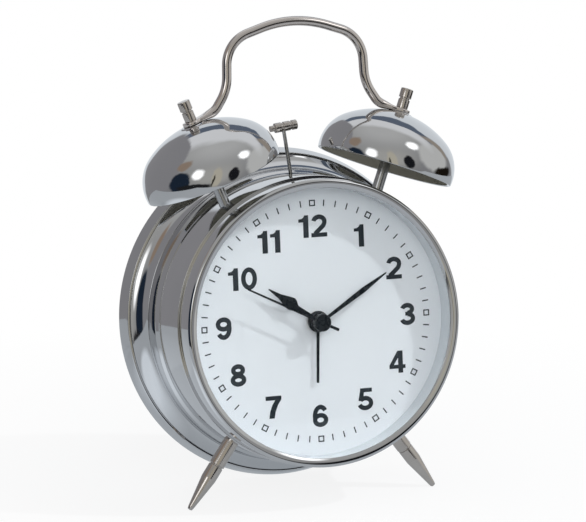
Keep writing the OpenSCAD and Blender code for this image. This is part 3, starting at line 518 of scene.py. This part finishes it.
def bell_outline(outset, wall):
    """Outline of a bell-shaped sheet: how far inside the bell's surface it starts, and how thick it is."""
    side_r, dome = BELL_R - BELL_SIDE, BELL_H - BELL_WAIST
    crown = (side_r ** 2 + dome ** 2 - BELL_SIDE ** 2) / (2 * (dome - BELL_SIDE))
    middle = BELL_H - crown
    turn = math.atan2(side_r, BELL_WAIST - middle)
    rim = math.pi / 2 + math.asin(BELL_WAIST / BELL_SIDE)
    seat = math.asin((BELL_SEAT + 0.5) / crown)

    def sheet(inset, start):
        out = []
        for k in range(ARC_STEPS + 1):
            a = start + (turn - start) * k / ARC_STEPS
            out.append(((crown - inset) * math.sin(a), middle + (crown - inset) * math.cos(a), 0))
        side = BELL_SIDE - inset
        for k in range(1, ARC_STEPS + 1):
            a = turn + (rim - turn) * k / ARC_STEPS
            out.append((side_r + side * math.sin(a), BELL_WAIST + side * math.cos(a), 0))
        return out

    outer, inner = sheet(outset, 0 if outset else seat), sheet(outset + wall, 0)
    if not outset:
        outer[-1], inner[-1] = (*outer[-1][:2], 0.5), (*inner[-1][:2], 0.5)
        outer = [(0, BELL_H, 0), (BELL_SEAT, BELL_H, 0.2)] + outer
    return outer + inner[::-1]


for side in ("left", "right"):
    lathe(f"bell_{side}_dome", bell_outline(0, BELL_WALL), False, BELL[side], CHROME, f"bell_{side}", BELL_ROUND)
    # The plating hardly reaches the inside, which is lacquered a dull grey
    lining = bell_outline(BELL_WALL + LINING_GAP, LINING_WALL)
    inside = turned_mesh(f"bell_{side}_inside", lining, False, LINING_ROUND)
    seated(f"bell_{side}_inside", inside, BELL[side], LINING, body="clock")
    lathe(f"post_{side}_rod", [
        (0, -10.6, 0), (1.95, -10.6, 0), (1.95, 18.1, 0.2), (1.2, 18.1, 0), (1.2, 25, 0), (0, 25, 0)],
        False, BELL[side], STEEL, f"post_{side}", SMALL)
    lathe(f"finial_{side}_nut", [
        (0, 21.1, 0), (2.02, 21.1, 0.1), (2.02, 24.3, 0.12), (1.7, 24.4, 0.1), (1.7, 24.85, 0.1),
        (2.2, 24.95, 0.15), (2.2, 28.2, 0.3), (0, 28.2, 0)], False, BELL[side], NICKEL, f"finial_{side}", SMALL)
    lathe(f"leg_{side}_turned", [
        (0, 47.6, 0), (2.7, 47.6, 0), (2.7, 59.0, 0.15), (2.3, 59.1, 0.1), (2.3, 59.5, 0.1), (2.6, 59.6, 0.2),
        (2.6, 64.4, 1.0), (1.02, 75.9, 0.5), (0.8, 76.75, 0.3), (0, 76.9, 0)],
        False, LEG[side], NICKEL, f"leg_{side}", SMALL)


# Handle: one bent rod. Each foot is flattened, with a round eye at its end, and blends into the rod
ROD_R, EYE_R, FOOT_WIDE, FOOT_THICK, TIP_WIDE = 1.65, 3.15, 2.3, 0.75, 0.3
FOOT_POWER, FOOT_END, FOOT_BLEND, ROD_STEP = 0.45, 5.5, 6.0, 0.6


def handle_path():
    """Centre line from the right foot over the peak to the left foot, in the plane of the bells."""
    tilt = math.radians(BELL_TILT)

    def by_bell(over, up):
        return Vector((BELL_X + over * math.cos(tilt) + up * math.sin(tilt),
                       BELL_Z - over * math.sin(tilt) + up * math.cos(tilt)))

    foot, lift_off = by_bell(EYE_R, BELL_H + FOOT_THICK), by_bell(-4.5, BELL_H + FOOT_THICK)
    bend = by_bell(-9.2, BELL_H + 1.0)
    half = [(*foot, 0), (*lift_off, 4), (*bend, 6), (25.2, 80.1, 20), (24.6, 96.3, 14.5), (0, 104.3, 40)]
    mirror = [(-x, y, r) for x, y, r in reversed(half[:-1])]
    return eased(half + mirror, False, 24)


def handle_rod():
    """Runs the rod's section along its path: flat at the feet, round between them."""
    line = handle_path()
    dense = []
    for a, b in zip(line, line[1:]):
        cuts = max(1, round((b - a).length / ROD_STEP))
        dense += [a.lerp(b, k / cuts) for k in range(cuts)]
    dense.append(line[-1])
    run = [0.0]
    for a, b in zip(dense, dense[1:]):
        run.append(run[-1] + (b - a).length)
    bm = bmesh.new()
    rings = []
    for i, p in enumerate(dense):
        ahead = dense[min(i + 1, len(dense) - 1)] - dense[max(i - 1, 0)]
        normal = Vector((-ahead.y, ahead.x)).normalized()
        s = min(run[i], run[-1] - run[i])
        eye = math.sqrt(max(0.0, EYE_R ** 2 - (s - EYE_R) ** 2)) if s < 2 * EYE_R else 0.0
        blend = min(1.0, max(0.0, (s - FOOT_END) / FOOT_BLEND))
        blend = blend * blend * (3 - 2 * blend)
        wide = max(eye, FOOT_WIDE + (ROD_R - FOOT_WIDE) * blend if s > EYE_R else TIP_WIDE)
        thick = FOOT_THICK + (ROD_R - FOOT_THICK) * blend
        power = FOOT_POWER + (1 - FOOT_POWER) * blend
        ring = []
        for k in range(THIN):
            a = TAU * k / THIN
            u = math.copysign(abs(math.cos(a)) ** power, math.cos(a)) * thick
            v = math.copysign(abs(math.sin(a)) ** power, math.sin(a)) * wide
            ring.append(bm.verts.new((p.x + normal.x * u, BELL_Y + v, p.y + normal.y * u)))
        rings.append(ring)
    for i in range(len(rings) - 1):
        for k in range(THIN):
            n = (k + 1) % THIN
            bm.faces.new((rings[i][k], rings[i][n], rings[i + 1][n], rings[i + 1][k]))
    bm.faces.new(rings[0])
    bm.faces.new(rings[-1])
    seated("handle_rod", meshed("handle_rod", bm), IN_CASE, ROD, "handle", smooth=50)


handle_rod()

# Hammer: grooved striker on a thin rod
lathe("hammer_striker", [
    (0, -4.95, 0), (1.05, -4.95, 0.2), (1.05, -3.35, 0.1), (1.7, -3.2, 0.25), (1.7, -0.85, 0.15),
    (1.45, -0.7, 0.1), (1.45, -0.1, 0.1), (1.7, 0.05, 0.15), (1.7, 2.3, 0.15), (1.45, 2.45, 0.1),
    (1.45, 3.0, 0.1), (1.7, 3.15, 0.15), (1.7, 4.95, 0.3), (0, 4.95, 0)],
    False, HAMMER @ shifted(0, 0, HAMMER_REACH) @ turned(90, "Y"), NICKEL, "hammer_head", SMALL)
lathe("hammer_stem", [(0, 1.8, 0), (0.65, 1.8, 0.1), (0.65, HAMMER_REACH, 0.1), (0, HAMMER_REACH, 0)],
      False, HAMMER, STEEL, "hammer_rod", THIN)

# Dial print: sixty marks, hollow squares at the hours, and upright numerals
PRINT_LOW, PRINT_HIGH, PRINT_STEP, MARKS_UP = -0.02, 0.03, 0.004, 0.01


def marks_tree():
    tree, given, out = tree_with("dial_marks", {
        "Marks": 60, "Hour Every": 5, "Radius": MARK_R, "Stroke": 0.42, "Length": 2.2, "Square": 2.15,
        "Print": 0.04})
    circle = add(tree, "GeometryNodeMeshCircle", {"Vertices": given["Marks"], "Radius": given["Radius"]})
    index = add(tree, "GeometryNodeInputIndex")
    part = add(tree, "ShaderNodeMath", {0: TAU, 1: given["Marks"]}, operation="DIVIDE")
    angle = add(tree, "ShaderNodeMath", {0: index, 1: part}, operation="MULTIPLY")
    spin = add(tree, "ShaderNodeCombineXYZ", {"Z": angle})
    rest = add(tree, "ShaderNodeMath", {0: index, 1: given["Hour Every"]}, operation="MODULO")
    between = add(tree, "ShaderNodeMath", {0: rest, 1: 0.5}, operation="GREATER_THAN")
    on_hour = add(tree, "ShaderNodeMath", {0: rest, 1: 0.5}, operation="LESS_THAN")
    bar = add(tree, "ShaderNodeCombineXYZ", {"X": given["Length"], "Y": given["Stroke"], "Z": given["Print"]})
    tick = add(tree, "GeometryNodeMeshCube", {"Size": bar})
    inside = add(tree, "ShaderNodeMath", {
        0: given["Stroke"], 1: -2.0, 2: given["Square"]}, operation="MULTIPLY_ADD")
    edges = add(tree, "GeometryNodeJoinGeometry")
    for size in (given["Square"], inside):
        edge = add(tree, "GeometryNodeCurvePrimitiveQuadrilateral", {"Width": size, "Height": size})
        tree.links.new(edge.outputs[0], edges.inputs[0])
    square = add(tree, "GeometryNodeFillCurve", {"Curve": edges})
    raised = add(tree, "GeometryNodeExtrudeMesh", {"Mesh": square, "Offset Scale": given["Print"]})
    both = add(tree, "GeometryNodeJoinGeometry")
    for chosen, mark in ((between, tick), (on_hour, raised)):
        marks = add(tree, "GeometryNodeInstanceOnPoints", {
            "Points": circle, "Selection": chosen, "Instance": mark, "Rotation": spin})
        tree.links.new(marks.outputs[0], both.inputs[0])
    return ended(tree, out, both, INK)


grown("dial_marks", marks_tree(), {"Radius": MARK_R}, DIAL_FACE @ shifted(0, 0, MARKS_UP), INK, body="clock")


def arc(cx, cy, rx, ry, start, end, steps=20):
    """Points of an elliptic arc, in degrees from +X, counter-clockwise when end is larger."""
    out = []
    for k in range(steps + 1):
        a = math.radians(start + (end - start) * k / steps)
        out.append((cx + rx * math.cos(a), cy + ry * math.sin(a)))
    return out


# Numerals in units of their height: pen strokes as centre lines of one pen width, and straight-edged shapes
PEN, WIDE = 0.208, 1.09
NUMERALS = {
    "0": (0.70, [arc(0.35, 0.5, 0.245, 0.395, 0, 360, 40)], []),
    "1": (0.46, [], [[(0.0, 0.69), (0.20, 0.69), (0.20, 0.0), (0.43, 0.0), (0.43, 1.0), (0.26, 1.0),
                      (0.22, 0.91), (0.14, 0.85), (0.0, 0.83)]]),
    "2": (0.70, [arc(0.35, 0.69, 0.235, 0.205, 172, 0) + arc(0.10, 0.69, 0.485, 0.40, 0, -30, 6)
                 + [(0.16, 0.15)]],
          [[(0.0, 0.0), (0.69, 0.0), (0.69, 0.19), (0.0, 0.19)]]),
    "3": (0.70, [arc(0.33, 0.72, 0.215, 0.175, 168, -88, 24), arc(0.33, 0.30, 0.245, 0.195, 88, -168, 24)],
          [[(0.24, 0.43), (0.37, 0.43), (0.37, 0.60), (0.24, 0.60)]]),
    "4": (0.72, [], [[(0.39, 0.0), (0.60, 0.0), (0.60, 1.0), (0.39, 1.0)],
                     [(0.0, 0.2), (0.71, 0.2), (0.71, 0.37), (0.0, 0.37)],
                     [(0.0, 0.36), (0.19, 0.36), (0.40, 0.70), (0.40, 1.0), (0.37, 1.0)]]),
    "5": (0.70, [arc(0.33, 0.325, 0.255, 0.22, 143, -165, 28)],
          [[(0.12, 0.815), (0.64, 0.815), (0.64, 1.0), (0.12, 1.0)],
           [(0.03, 0.44), (0.235, 0.42), (0.30, 0.9), (0.12, 0.9)]]),
    "6": (0.70, [arc(0.35, 0.315, 0.24, 0.21, 0, 360, 36), arc(0.36, 0.5, 0.25, 0.395, 36, 200, 24)], []),
    "7": (0.68, [], [[(0.0, 0.81), (0.68, 0.81), (0.68, 1.0), (0.0, 1.0)],
                     [(0.13, 0.0), (0.36, 0.0), (0.41, 0.28), (0.52, 0.58), (0.68, 0.83), (0.42, 0.83),
                      (0.27, 0.58), (0.17, 0.28)]]),
    "8": (0.70, [arc(0.35, 0.725, 0.205, 0.17, 0, 360, 32), arc(0.35, 0.29, 0.24, 0.185, 0, 360, 32)], []),
    "9": (0.70, [arc(0.35, 0.685, 0.24, 0.21, 0, 360, 36), arc(0.34, 0.5, 0.25, 0.395, 216, 380, 24)], []),
}


def prism(bm, outline, low, high):
    """Adds a prism over a flat outline."""
    bottom = [bm.verts.new((x, y, low)) for x, y in outline]
    top = [bm.verts.new((x, y, high)) for x, y in outline]
    bm.faces.new(list(reversed(bottom)))
    bm.faces.new(top)
    for k in range(len(outline)):
        n = (k + 1) % len(outline)
        bm.faces.new((bottom[k], bottom[n], top[n], top[k]))


def stroked(bm, line, width, low, high):
    """Adds a ribbon along a centre line; a line that ends where it starts is a ring."""
    ring = (Vector(line[0]) - Vector(line[-1])).length < 1e-6
    points = [Vector(p) for p in (line[:-1] if ring else line)]
    count = len(points)
    sides = []
    for i, p in enumerate(points):
        before = points[i - 1] if ring or i else p
        after = points[(i + 1) % count] if ring or i < count - 1 else p
        along = (after - before).normalized()
        sides.append(Vector((-along.y, along.x)) * width / 2)
    section = ((1, low), (-1, low), (-1, high), (1, high))
    corners = [[bm.verts.new((*(p + k * s), h)) for k, h in section] for p, s in zip(points, sides)]
    for i in range(count if ring else count - 1):
        a, b = corners[i], corners[(i + 1) % count]
        for k in range(4):
            n = (k + 1) % 4
            bm.faces.new((a[k], a[n], b[n], b[k]))
    if not ring:
        bm.faces.new(corners[0])
        bm.faces.new(corners[-1])


def dial_numerals():
    """All twelve hours as one sheet of print; overlapping strokes end at slightly different heights."""
    height, ring_x, ring_y, gap = 7.6, 33.2, 32.2, 0.09
    inward = {10: 3.0, 11: 0.8}
    bm = bmesh.new()
    for hour in range(1, 13):
        angle = math.radians(90 - 30 * hour)
        digits = str(hour)
        total = sum(NUMERALS[d][0] * WIDE for d in digits) + gap * (len(digits) - 1)
        x = ring_x * math.cos(angle) - total * height / 2 + inward.get(hour, 0)
        y = ring_y * math.sin(angle) - height / 2
        for d in digits:
            advance, lines, shapes = NUMERALS[d]
            top = PRINT_HIGH
            for k, path in enumerate(lines + shapes):
                moved = [(x + px * WIDE * height, y + py * height) for px, py in path]
                if k < len(lines):
                    stroked(bm, moved, PEN * height, PRINT_LOW, top)
                else:
                    prism(bm, moved, PRINT_LOW, top)
                top += PRINT_STEP
            x += (advance * WIDE + gap) * height
    seated("dial_numerals", meshed("dial_numerals", bm), DIAL_FACE, INK, body="clock")


dial_numerals()


# Hands: stamped blades on turned hubs, drawn pointing at twelve and turned to the time shown
def mirrored(half):
    """Outline of a hand from its right edge, hub to tip."""
    return half + [(-x, y, r) for x, y, r in reversed(half)]


# Each hand: degrees from twelve, height of its front over the dial, radius of hub and bore, node, blade
BLADE_LOW, BLADE_HIGH = -1.0, -0.7
HANDS = [
    ("alarm_hand_black", 182.4, 2.1, 3.65, 2.81, "alarm_hand", mirrored([(0.5, 2.9, 0), (0.42, 20.8, 0.2)])),
    ("hour_hand_black", 304.84, 3.5, 3.2, 2.01, "hour_hand", mirrored([
        (0.75, 2.4, 0), (0.75, 9.6, 0.8), (1.9, 10.9, 0.6), (2.3, 12.0, 0.8), (1.85, 13.7, 2.0),
        (0.85, 16.9, 6.0), (0.2, 21.6, 0.15)])),
    ("minute_hand_black", 58.08, 4.9, 2.9, 1.21, "minute_hand", mirrored([
        (0.5, 2.3, 0), (0.92, 18.8, 9.0), (0.2, 28.8, 0.15)])),
    ("second_hand_black", 296.7, 6.3, 3.0, 0.0, "second_hand", mirrored([
        (0.5, -6.6, 0.2), (0.5, 0, 2.0), (0.3, 29.4, 0.2)])),
]


def hand_piece(name, degrees, front, hub, bore, node, blade):
    """Stamped blade and turned hub as one piece."""
    bm = bmesh.new()
    prism(bm, eased(blade, True, 4), BLADE_LOW, BLADE_HIGH)
    profile = [
        (bore, BLADE_LOW, 0), (hub, BLADE_LOW, 0.06), (hub, -0.25, 0.2), (hub - 0.35, 0.0, 0.1), (bore, 0.0, 0)]
    revolve(bm, eased(profile, bore > 0), bore > 0, SMALL)
    place = DIAL_FACE @ turned(-degrees, "Z") @ shifted(0, 0, front)
    seated(name, meshed(name, bm), place, LACQUER, node, smooth=30)


for hand in HANDS:
    hand_piece(*hand)


# Back: rear cover, fluted setting knobs and cross-head screws
KNOB_R, KNOB_Y, SCREW_RING, SCREW_TURN = 4.3, 41.0, 51.45, 0.7


def knob_tree():
    tree, given, out = tree_with("fluted_knob", {
        "Flutes": 12, "Radius": KNOB_R, "Height": 5.0, "Flute Depth": 0.5, "Edge": 0.35, "Dish": 0.4})
    points = add(tree, "ShaderNodeMath", {0: given["Flutes"], 1: 10.0}, operation="MULTIPLY")
    base = add(tree, "GeometryNodeMeshCircle", {
        "Vertices": points, "Radius": given["Radius"]}, fill_type="NGON")
    where = add(tree, "GeometryNodeInputPosition")
    apart = add(tree, "ShaderNodeSeparateXYZ", {0: where}).outputs
    angle = add(tree, "ShaderNodeMath", {0: apart["Y"], 1: apart["X"]}, operation="ARCTAN2")
    phase = add(tree, "ShaderNodeMath", {0: angle, 1: given["Flutes"]}, operation="MULTIPLY")
    wave = add(tree, "ShaderNodeMath", {0: phase}, operation="COSINE")
    dip = add(tree, "ShaderNodeMapRange", {"Value": wave, "From Min": -0.1, "From Max": 1.0})
    share = add(tree, "ShaderNodeMath", {0: given["Flute Depth"], 1: given["Radius"]}, operation="DIVIDE")
    part = add(tree, "ShaderNodeMath", {0: dip, 1: share}, operation="MULTIPLY")
    left = add(tree, "ShaderNodeMath", {0: 1.0, 1: part}, operation="SUBTRACT")
    moved = add(tree, "ShaderNodeVectorMath", {0: where, "Scale": left}, operation="SCALE")
    fluted = add(tree, "GeometryNodeSetPosition", {"Geometry": base, "Position": moved})
    bottom = add(tree, "GeometryNodeFlipFaces", {"Mesh": fluted})
    body = add(tree, "ShaderNodeMath", {0: given["Height"], 1: given["Edge"]}, operation="SUBTRACT")
    sunk = add(tree, "ShaderNodeMath", {0: given["Dish"], 1: -1.0}, operation="MULTIPLY")
    mesh, top = fluted, None
    # Side, rounded edge, rim and dish, each grown from the top face of the one before
    for rise, shrink in ((body, 1.0), (given["Edge"], 0.92), (0.0, 0.74), (sunk, 0.94)):
        raised = add(tree, "GeometryNodeExtrudeMesh", {"Mesh": mesh, "Offset Scale": rise})
        if top:
            tree.links.new(top, raised.inputs["Selection"])
        top = raised.outputs["Top"]
        mesh = add(tree, "GeometryNodeScaleElements", {
            "Geometry": raised, "Selection": top, "Scale": shrink})
    both = add(tree, "GeometryNodeJoinGeometry")
    for half in (mesh, bottom):
        tree.links.new(half.outputs[0], both.inputs[0])
    shut = add(tree, "GeometryNodeMergeByDistance", {"Geometry": both, "Distance": 0.001})
    return ended(tree, out, shut, BLACK)


def screws_tree():
    tree, given, out = tree_with("cross_head_screws", {
        "Screws": 4, "Ring": SCREW_RING, "First": math.radians(45), "Head": 2.0, "Head Top": 1.6, "Height": 1.3,
        "Slot": 0.5})
    ring = add(tree, "GeometryNodeMeshCircle", {"Vertices": given["Screws"], "Radius": given["Ring"]})
    first = add(tree, "ShaderNodeCombineXYZ", {"Z": given["First"]})
    seats = add(tree, "GeometryNodeTransform", {"Geometry": ring, "Rotation": first})
    head = add(tree, "GeometryNodeMeshCone", {
        "Vertices": 28, "Radius Top": given["Head Top"], "Radius Bottom": given["Head"], "Depth": given["Height"]})
    long = add(tree, "ShaderNodeMath", {0: given["Head"], 1: 1.25}, operation="MULTIPLY")
    level = add(tree, "ShaderNodeCombineXYZ", {"Z": given["Height"]})
    cut = add(tree, "GeometryNodeMeshBoolean", {"Mesh 1": head}, operation="DIFFERENCE")
    for quarter in (0.0, math.pi / 2):
        size = add(tree, "ShaderNodeCombineXYZ", {"X": long, "Y": given["Slot"], "Z": given["Height"]})
        bar = add(tree, "GeometryNodeMeshCube", {"Size": size})
        set_in = add(tree, "GeometryNodeTransform", {
            "Geometry": bar, "Translation": level, "Rotation": (0, 0, quarter)})
        tree.links.new(set_in.outputs[0], cut.inputs["Mesh 2"])
    index = add(tree, "GeometryNodeInputIndex")
    angle = add(tree, "ShaderNodeMath", {0: index, 1: SCREW_TURN}, operation="MULTIPLY")
    spin = add(tree, "ShaderNodeCombineXYZ", {"Z": angle})
    screws = add(tree, "GeometryNodeInstanceOnPoints", {"Points": seats, "Instance": cut, "Rotation": spin})
    return ended(tree, out, screws, STEEL)


# The cover's outline is radius and depth; its openings are for the battery door, the switch and both knob stems
RIM_FRONT, CUT_FROM, CUT_TO, STEM_HOLE = 34.8, 38, 42, 1.3
cover_mesh = turned_mesh("rear_cover_sheet", [
    (0, COVER_BACK, 0), (57.3, COVER_BACK, 0.2), (57.9, 40.0, 0.3), (56.3, RIM_FRONT, 0.25),
    (55.4, RIM_FRONT, 0.08), (55.4, COVER_Y, 0), (0, COVER_Y, 0)], False, LARGE)
cover_openings = [
    block((-27.2, 13.1, CUT_FROM), (27.2, 43.5, CUT_TO)), block((-1.8, -21.6, CUT_FROM), (7.8, -18.4, CUT_TO))]
for x, z in (TIME_KNOB, ALARM_KNOB):
    stem_hole = turned_mesh("stem_hole", [
        (0, CUT_FROM, 0), (STEM_HOLE, CUT_FROM, 0), (STEM_HOLE, CUT_TO, 0), (0, CUT_TO, 0)], False, THIN)
    stem_hole.transform(shifted(x, -z, 0))
    cover_openings.append(stem_hole)
seated("rear_cover_sheet", cut_out(cover_mesh, cover_openings), ALONG_DEPTH, CHROME, "rear_cover")
on_cover = ALONG_DEPTH @ shifted(0, 0, COVER_BACK)
grown("cover_screw_heads", screws_tree(), {"Ring": SCREW_RING}, on_cover, STEEL, "cover_screws")
fluted_knob = knob_tree()
for knob_name, (x, z) in (("time_knob", TIME_KNOB), ("alarm_knob", ALARM_KNOB)):
    on_stem = ALONG_DEPTH @ shifted(x, -z, KNOB_Y)
    grown(knob_name + "_fluted", fluted_knob, {"Radius": KNOB_R}, on_stem, BLACK, knob_name)


# Studio
def background_seen(tree):
    """1 for rays that look at the background directly, in a mirror or through glass."""
    path = add(tree, "ShaderNodeLightPath").outputs
    first = add(tree, "ShaderNodeMath", {0: path["Is Camera Ray"], 1: path["Is Glossy Ray"]}, operation="MAXIMUM")
    return add(tree, "ShaderNodeMath", {0: first, 1: path["Is Transmission Ray"]}, operation="MAXIMUM")


# Pale paper on a table that ends a little behind the clock, white surround, and a room that only metal and glass
# show. Sizes of the studio are in metres
PAPER, PAPER_BACK, DOME_R = 0.38, 0.24, 6.0
# Middles of the two painted pools of light that mirrors show on the paper
PAINTED_POOL_BEHIND, PAINTED_POOL_BESIDE = (0, 0.1, 0), (-0.13, -0.02, 0)
LAMP_AWAY, CLOCK_MIDDLE = 1.2, Vector((0, 0, 0.08))


def floor():
    mesh = bpy.data.meshes.new("floor")
    sheet = [(-PAPER, -PAPER, 0), (PAPER, -PAPER, 0), (PAPER, PAPER_BACK, 0), (-PAPER, PAPER_BACK, 0)]
    mesh.from_pydata(sheet, [], [(0, 1, 2, 3)])
    made = placed("floor", mesh)
    finish, tree, shader, where = surface("white_paper", {"Roughness": 0.9, "Specular IOR Level": 0.1})
    tinted(tree, shader, where, 400, "#eff1f4", "#f3f5f7")
    # Looked at, the sheet runs into the white surround and keeps the shadow near the clock. A mirror shows it
    # with painted light in place of its shading: duller and cool, with a painted pool of light behind the clock
    # and another in the lit patch beside it
    away = add(tree, "ShaderNodeVectorMath", {0: where}, operation="LENGTH").outputs["Value"]
    white = add(tree, "ShaderNodeMapRange", {
        "Value": away, "From Min": 0.07, "From Max": PAPER_BACK, "To Min": 0.85, "To Max": 1.0})
    # Painted light for mirrors only: the brightness falls off from the middle of each painted pool
    levels = []
    for spot, near, far, most, least in (
            (PAINTED_POOL_BEHIND, 0.02, 0.17, 0.75, 0.45), (PAINTED_POOL_BESIDE, 0.05, 0.088, 0.65, 0.0)):
        off = add(tree, "ShaderNodeVectorMath", {0: where, 1: spot}, operation="DISTANCE").outputs["Value"]
        levels.append(add(tree, "ShaderNodeMapRange", {
            "Value": off, "From Min": near, "From Max": far, "To Min": most, "To Max": least}))
    painted_mirror_light = add(tree, "ShaderNodeMath", {0: levels[0], 1: levels[1]}, operation="ADD")
    path = add(tree, "ShaderNodeLightPath").outputs
    looked = path["Is Camera Ray"]
    mirror = add(tree, "ShaderNodeMath", {0: path["Is Glossy Ray"], 1: path["Is Transmission Ray"]},
                 operation="MAXIMUM")
    direct = add(tree, "ShaderNodeMath", {0: looked, 1: white}, operation="MULTIPLY")
    share = add(tree, "ShaderNodeMath", {0: mirror, 1: 0.75, 2: direct}, operation="MULTIPLY_ADD")
    seen = add(tree, "ShaderNodeMath", {0: mirror, 1: painted_mirror_light, 2: looked}, operation="MULTIPLY_ADD")
    cool = add(tree, "ShaderNodeMix", {"Factor": mirror}, data_type="RGBA")
    cool.inputs[6].default_value, cool.inputs[7].default_value = linear("#ffffff"), linear("#e6eef6")
    glow = add(tree, "ShaderNodeEmission", {"Color": cool.outputs[2], "Strength": seen})
    shown(tree, add(tree, "ShaderNodeMixShader", {0: share, 1: shader, 2: glow}))
    mesh.materials.append(finish)


# Things in the room: bearing, height, half width, half height in degrees, colour, brightness, softness of the edge
ROOM = {
    "bright_haze": (-18, 14, 42, 24, "#b6b5b1", 1.0, 1.4),
    "light_wall_right": (74, 14, 31, 27, "#cfcfcd", 1.0, 0.35),
    "ceiling_glow": (150, 60, 52, 17, "#eaebed", 1.0, 0.7),
    "white_backdrop": (158, 12, 46, 38, "#e4e9ee", 1.0, 0.15),
    "backdrop_edge": (150, 44, 44, 7.5, "#667080", 1.0, 0.25),
    "grey_wall_left": (-133, 14, 44, 38, "#939295", 1.0, 0.1),
    "cream_curtain": (-13, 8, 9, 24, "#c4beae", 1.0, 0.5),
    "dark_curtain": (-77, -1, 18, 25, "#202b3a", 1.0, 0.25),
    "brown_shelf": (-88, 37, 9, 11, "#9c8a7b", 1.0, 0.6),
    "brown_shelf_right": (106, 22, 6, 20, "#a2998f", 1.0, 0.6),
    "tripod": (-18, 0, 2, 15, "#45443c", 1.0, 0.5),
    "camera_stand": (18, 7, 9, 16, "#1d1e22", 1.0, 0.35),
    "table_gap_left": (-50, -13, 30, 9, "#242527", 1.0, 0.4),
    "table_gap_right": (88, -13, 22, 8, "#1c1712", 1.0, 0.5),
    "softbox_left_glow": (-48, 20, 9, 10.5, "#ffffff", 2.1, 1.0),
    "softbox_right_glow": (46, 44, 9, 8, "#ffffff", 2.4, 1.0),
}


def room_dome():
    bm = bmesh.new()
    bmesh.ops.create_uvsphere(bm, u_segments=64, v_segments=32, radius=DOME_R)
    mesh = bpy.data.meshes.new("room_dome")
    bm.to_mesh(mesh)
    bm.free()
    made = placed("room_dome", mesh)
    finish = bpy.data.materials.new("room")
    finish.use_nodes = True
    tree = finish.node_tree
    tree.nodes.remove(tree.nodes["Principled BSDF"])
    where = add(tree, "ShaderNodeTexCoord").outputs["Object"]
    straight = add(tree, "ShaderNodeVectorMath", {0: where}, operation="NORMALIZE")
    # Uneven outlines: the way to each point is nudged by a cloud
    cloud = add(tree, "ShaderNodeTexNoise", {"Vector": straight, "Scale": 4.0, "Detail": 4.0}).outputs["Color"]
    nudge = add(tree, "ShaderNodeVectorMath", {0: cloud, 1: (0.5, 0.5, 0.5)}, operation="SUBTRACT")
    small = add(tree, "ShaderNodeVectorMath", {0: nudge, "Scale": 0.16}, operation="SCALE")
    sum_way = add(tree, "ShaderNodeVectorMath", {0: straight, 1: small}, operation="ADD")
    way = add(tree, "ShaderNodeVectorMath", {0: sum_way}, operation="NORMALIZE")
    height = add(tree, "ShaderNodeSeparateXYZ", {0: straight}).outputs["Z"]
    ramp = add(tree, "ShaderNodeValToRGB", {"Fac": height})
    stops = ramp.color_ramp.elements
    stops[0].position, stops[0].color = 0.05, linear("#8e8e90")
    stops[1].position, stops[1].color = 0.97, linear("#c4c4c3")
    for place, code in ((0.5, "#a5a5a5"), (0.77, "#b4b4b3")):
        stops.new(place).color = linear(code)
    seen = ramp.outputs["Color"]
    for bearing, up, half_w, half_h, code, level, soft in ROOM.values():
        middle = facing_vector(bearing, up)
        across = facing_vector(bearing + 90, 0)
        upward = across.cross(-middle)
        spans = []
        for axis, half in ((across, half_w), (upward, half_h)):
            stretched = axis / math.tan(math.radians(half))
            span = add(tree, "ShaderNodeVectorMath", {0: way, 1: stretched}, operation="DOT_PRODUCT")
            spans.append(span.outputs["Value"])
        ahead = add(tree, "ShaderNodeVectorMath", {0: way, 1: middle}, operation="DOT_PRODUCT").outputs["Value"]
        flat = add(tree, "ShaderNodeCombineXYZ", {"X": spans[0], "Y": spans[1]})
        reach = add(tree, "ShaderNodeVectorMath", {0: flat}, operation="LENGTH").outputs["Value"]
        # Positive inside the outline, and never behind
        depth = add(tree, "ShaderNodeMath", {0: ahead, 1: reach}, operation="SUBTRACT")
        share = add(tree, "ShaderNodeMapRange", {
            "Value": depth, "From Min": -soft / 2, "From Max": soft / 2}, interpolation_type="SMOOTHSTEP")
        mix = add(tree, "ShaderNodeMix", {"Factor": share}, data_type="RGBA")
        tree.links.new(seen, mix.inputs[6])
        mix.inputs[7].default_value = [level * c for c in linear(code)]
        seen = mix.outputs[2]
    shown(tree, add(tree, "ShaderNodeEmission", {"Color": seen, "Strength": 1.0}))
    mesh.materials.append(finish)
    # Out of sight and out of the light: only mirrors show the room
    made.visible_camera = made.visible_diffuse = made.visible_shadow = made.visible_volume_scatter = False
    finish.cycles.emission_sampling = "NONE"


def lamp(name, bearing, height, wide, tall, watts):
    """Softbox that looks at the clock."""
    way = facing_vector(bearing, height)
    data = bpy.data.lights.new(name, "AREA")
    data.shape = "ELLIPSE"
    data.size, data.size_y, data.energy = wide, tall, watts
    made = placed(name, data)
    aimed = way.to_track_quat("Z", "Y").to_matrix().to_4x4()
    made.matrix_world = Matrix.Translation(CLOCK_MIDDLE + way * LAMP_AWAY) @ aimed
    made.visible_glossy = False


def surround():
    made = bpy.data.worlds.new("studio")
    scene.world = made
    made.use_nodes = True
    tree = made.node_tree
    # White where it is looked at, weaker as a source of light
    level = add(tree, "ShaderNodeMapRange", {"Value": background_seen(tree), "To Min": 0.59, "To Max": 1.0})
    backdrop = tree.nodes["Background"]
    backdrop.inputs["Color"].default_value = (1, 1, 1, 1)
    tree.links.new(level.outputs["Result"], backdrop.inputs["Strength"])


floor()
room_dome()
lamp("softbox_right", 60.5, 45.5, 0.045, 0.04, 5.3)
lamp("softbox_front", -12, 25, 1.1, 0.9, 4.5)
surround()
scene.view_settings.view_transform = "Standard"
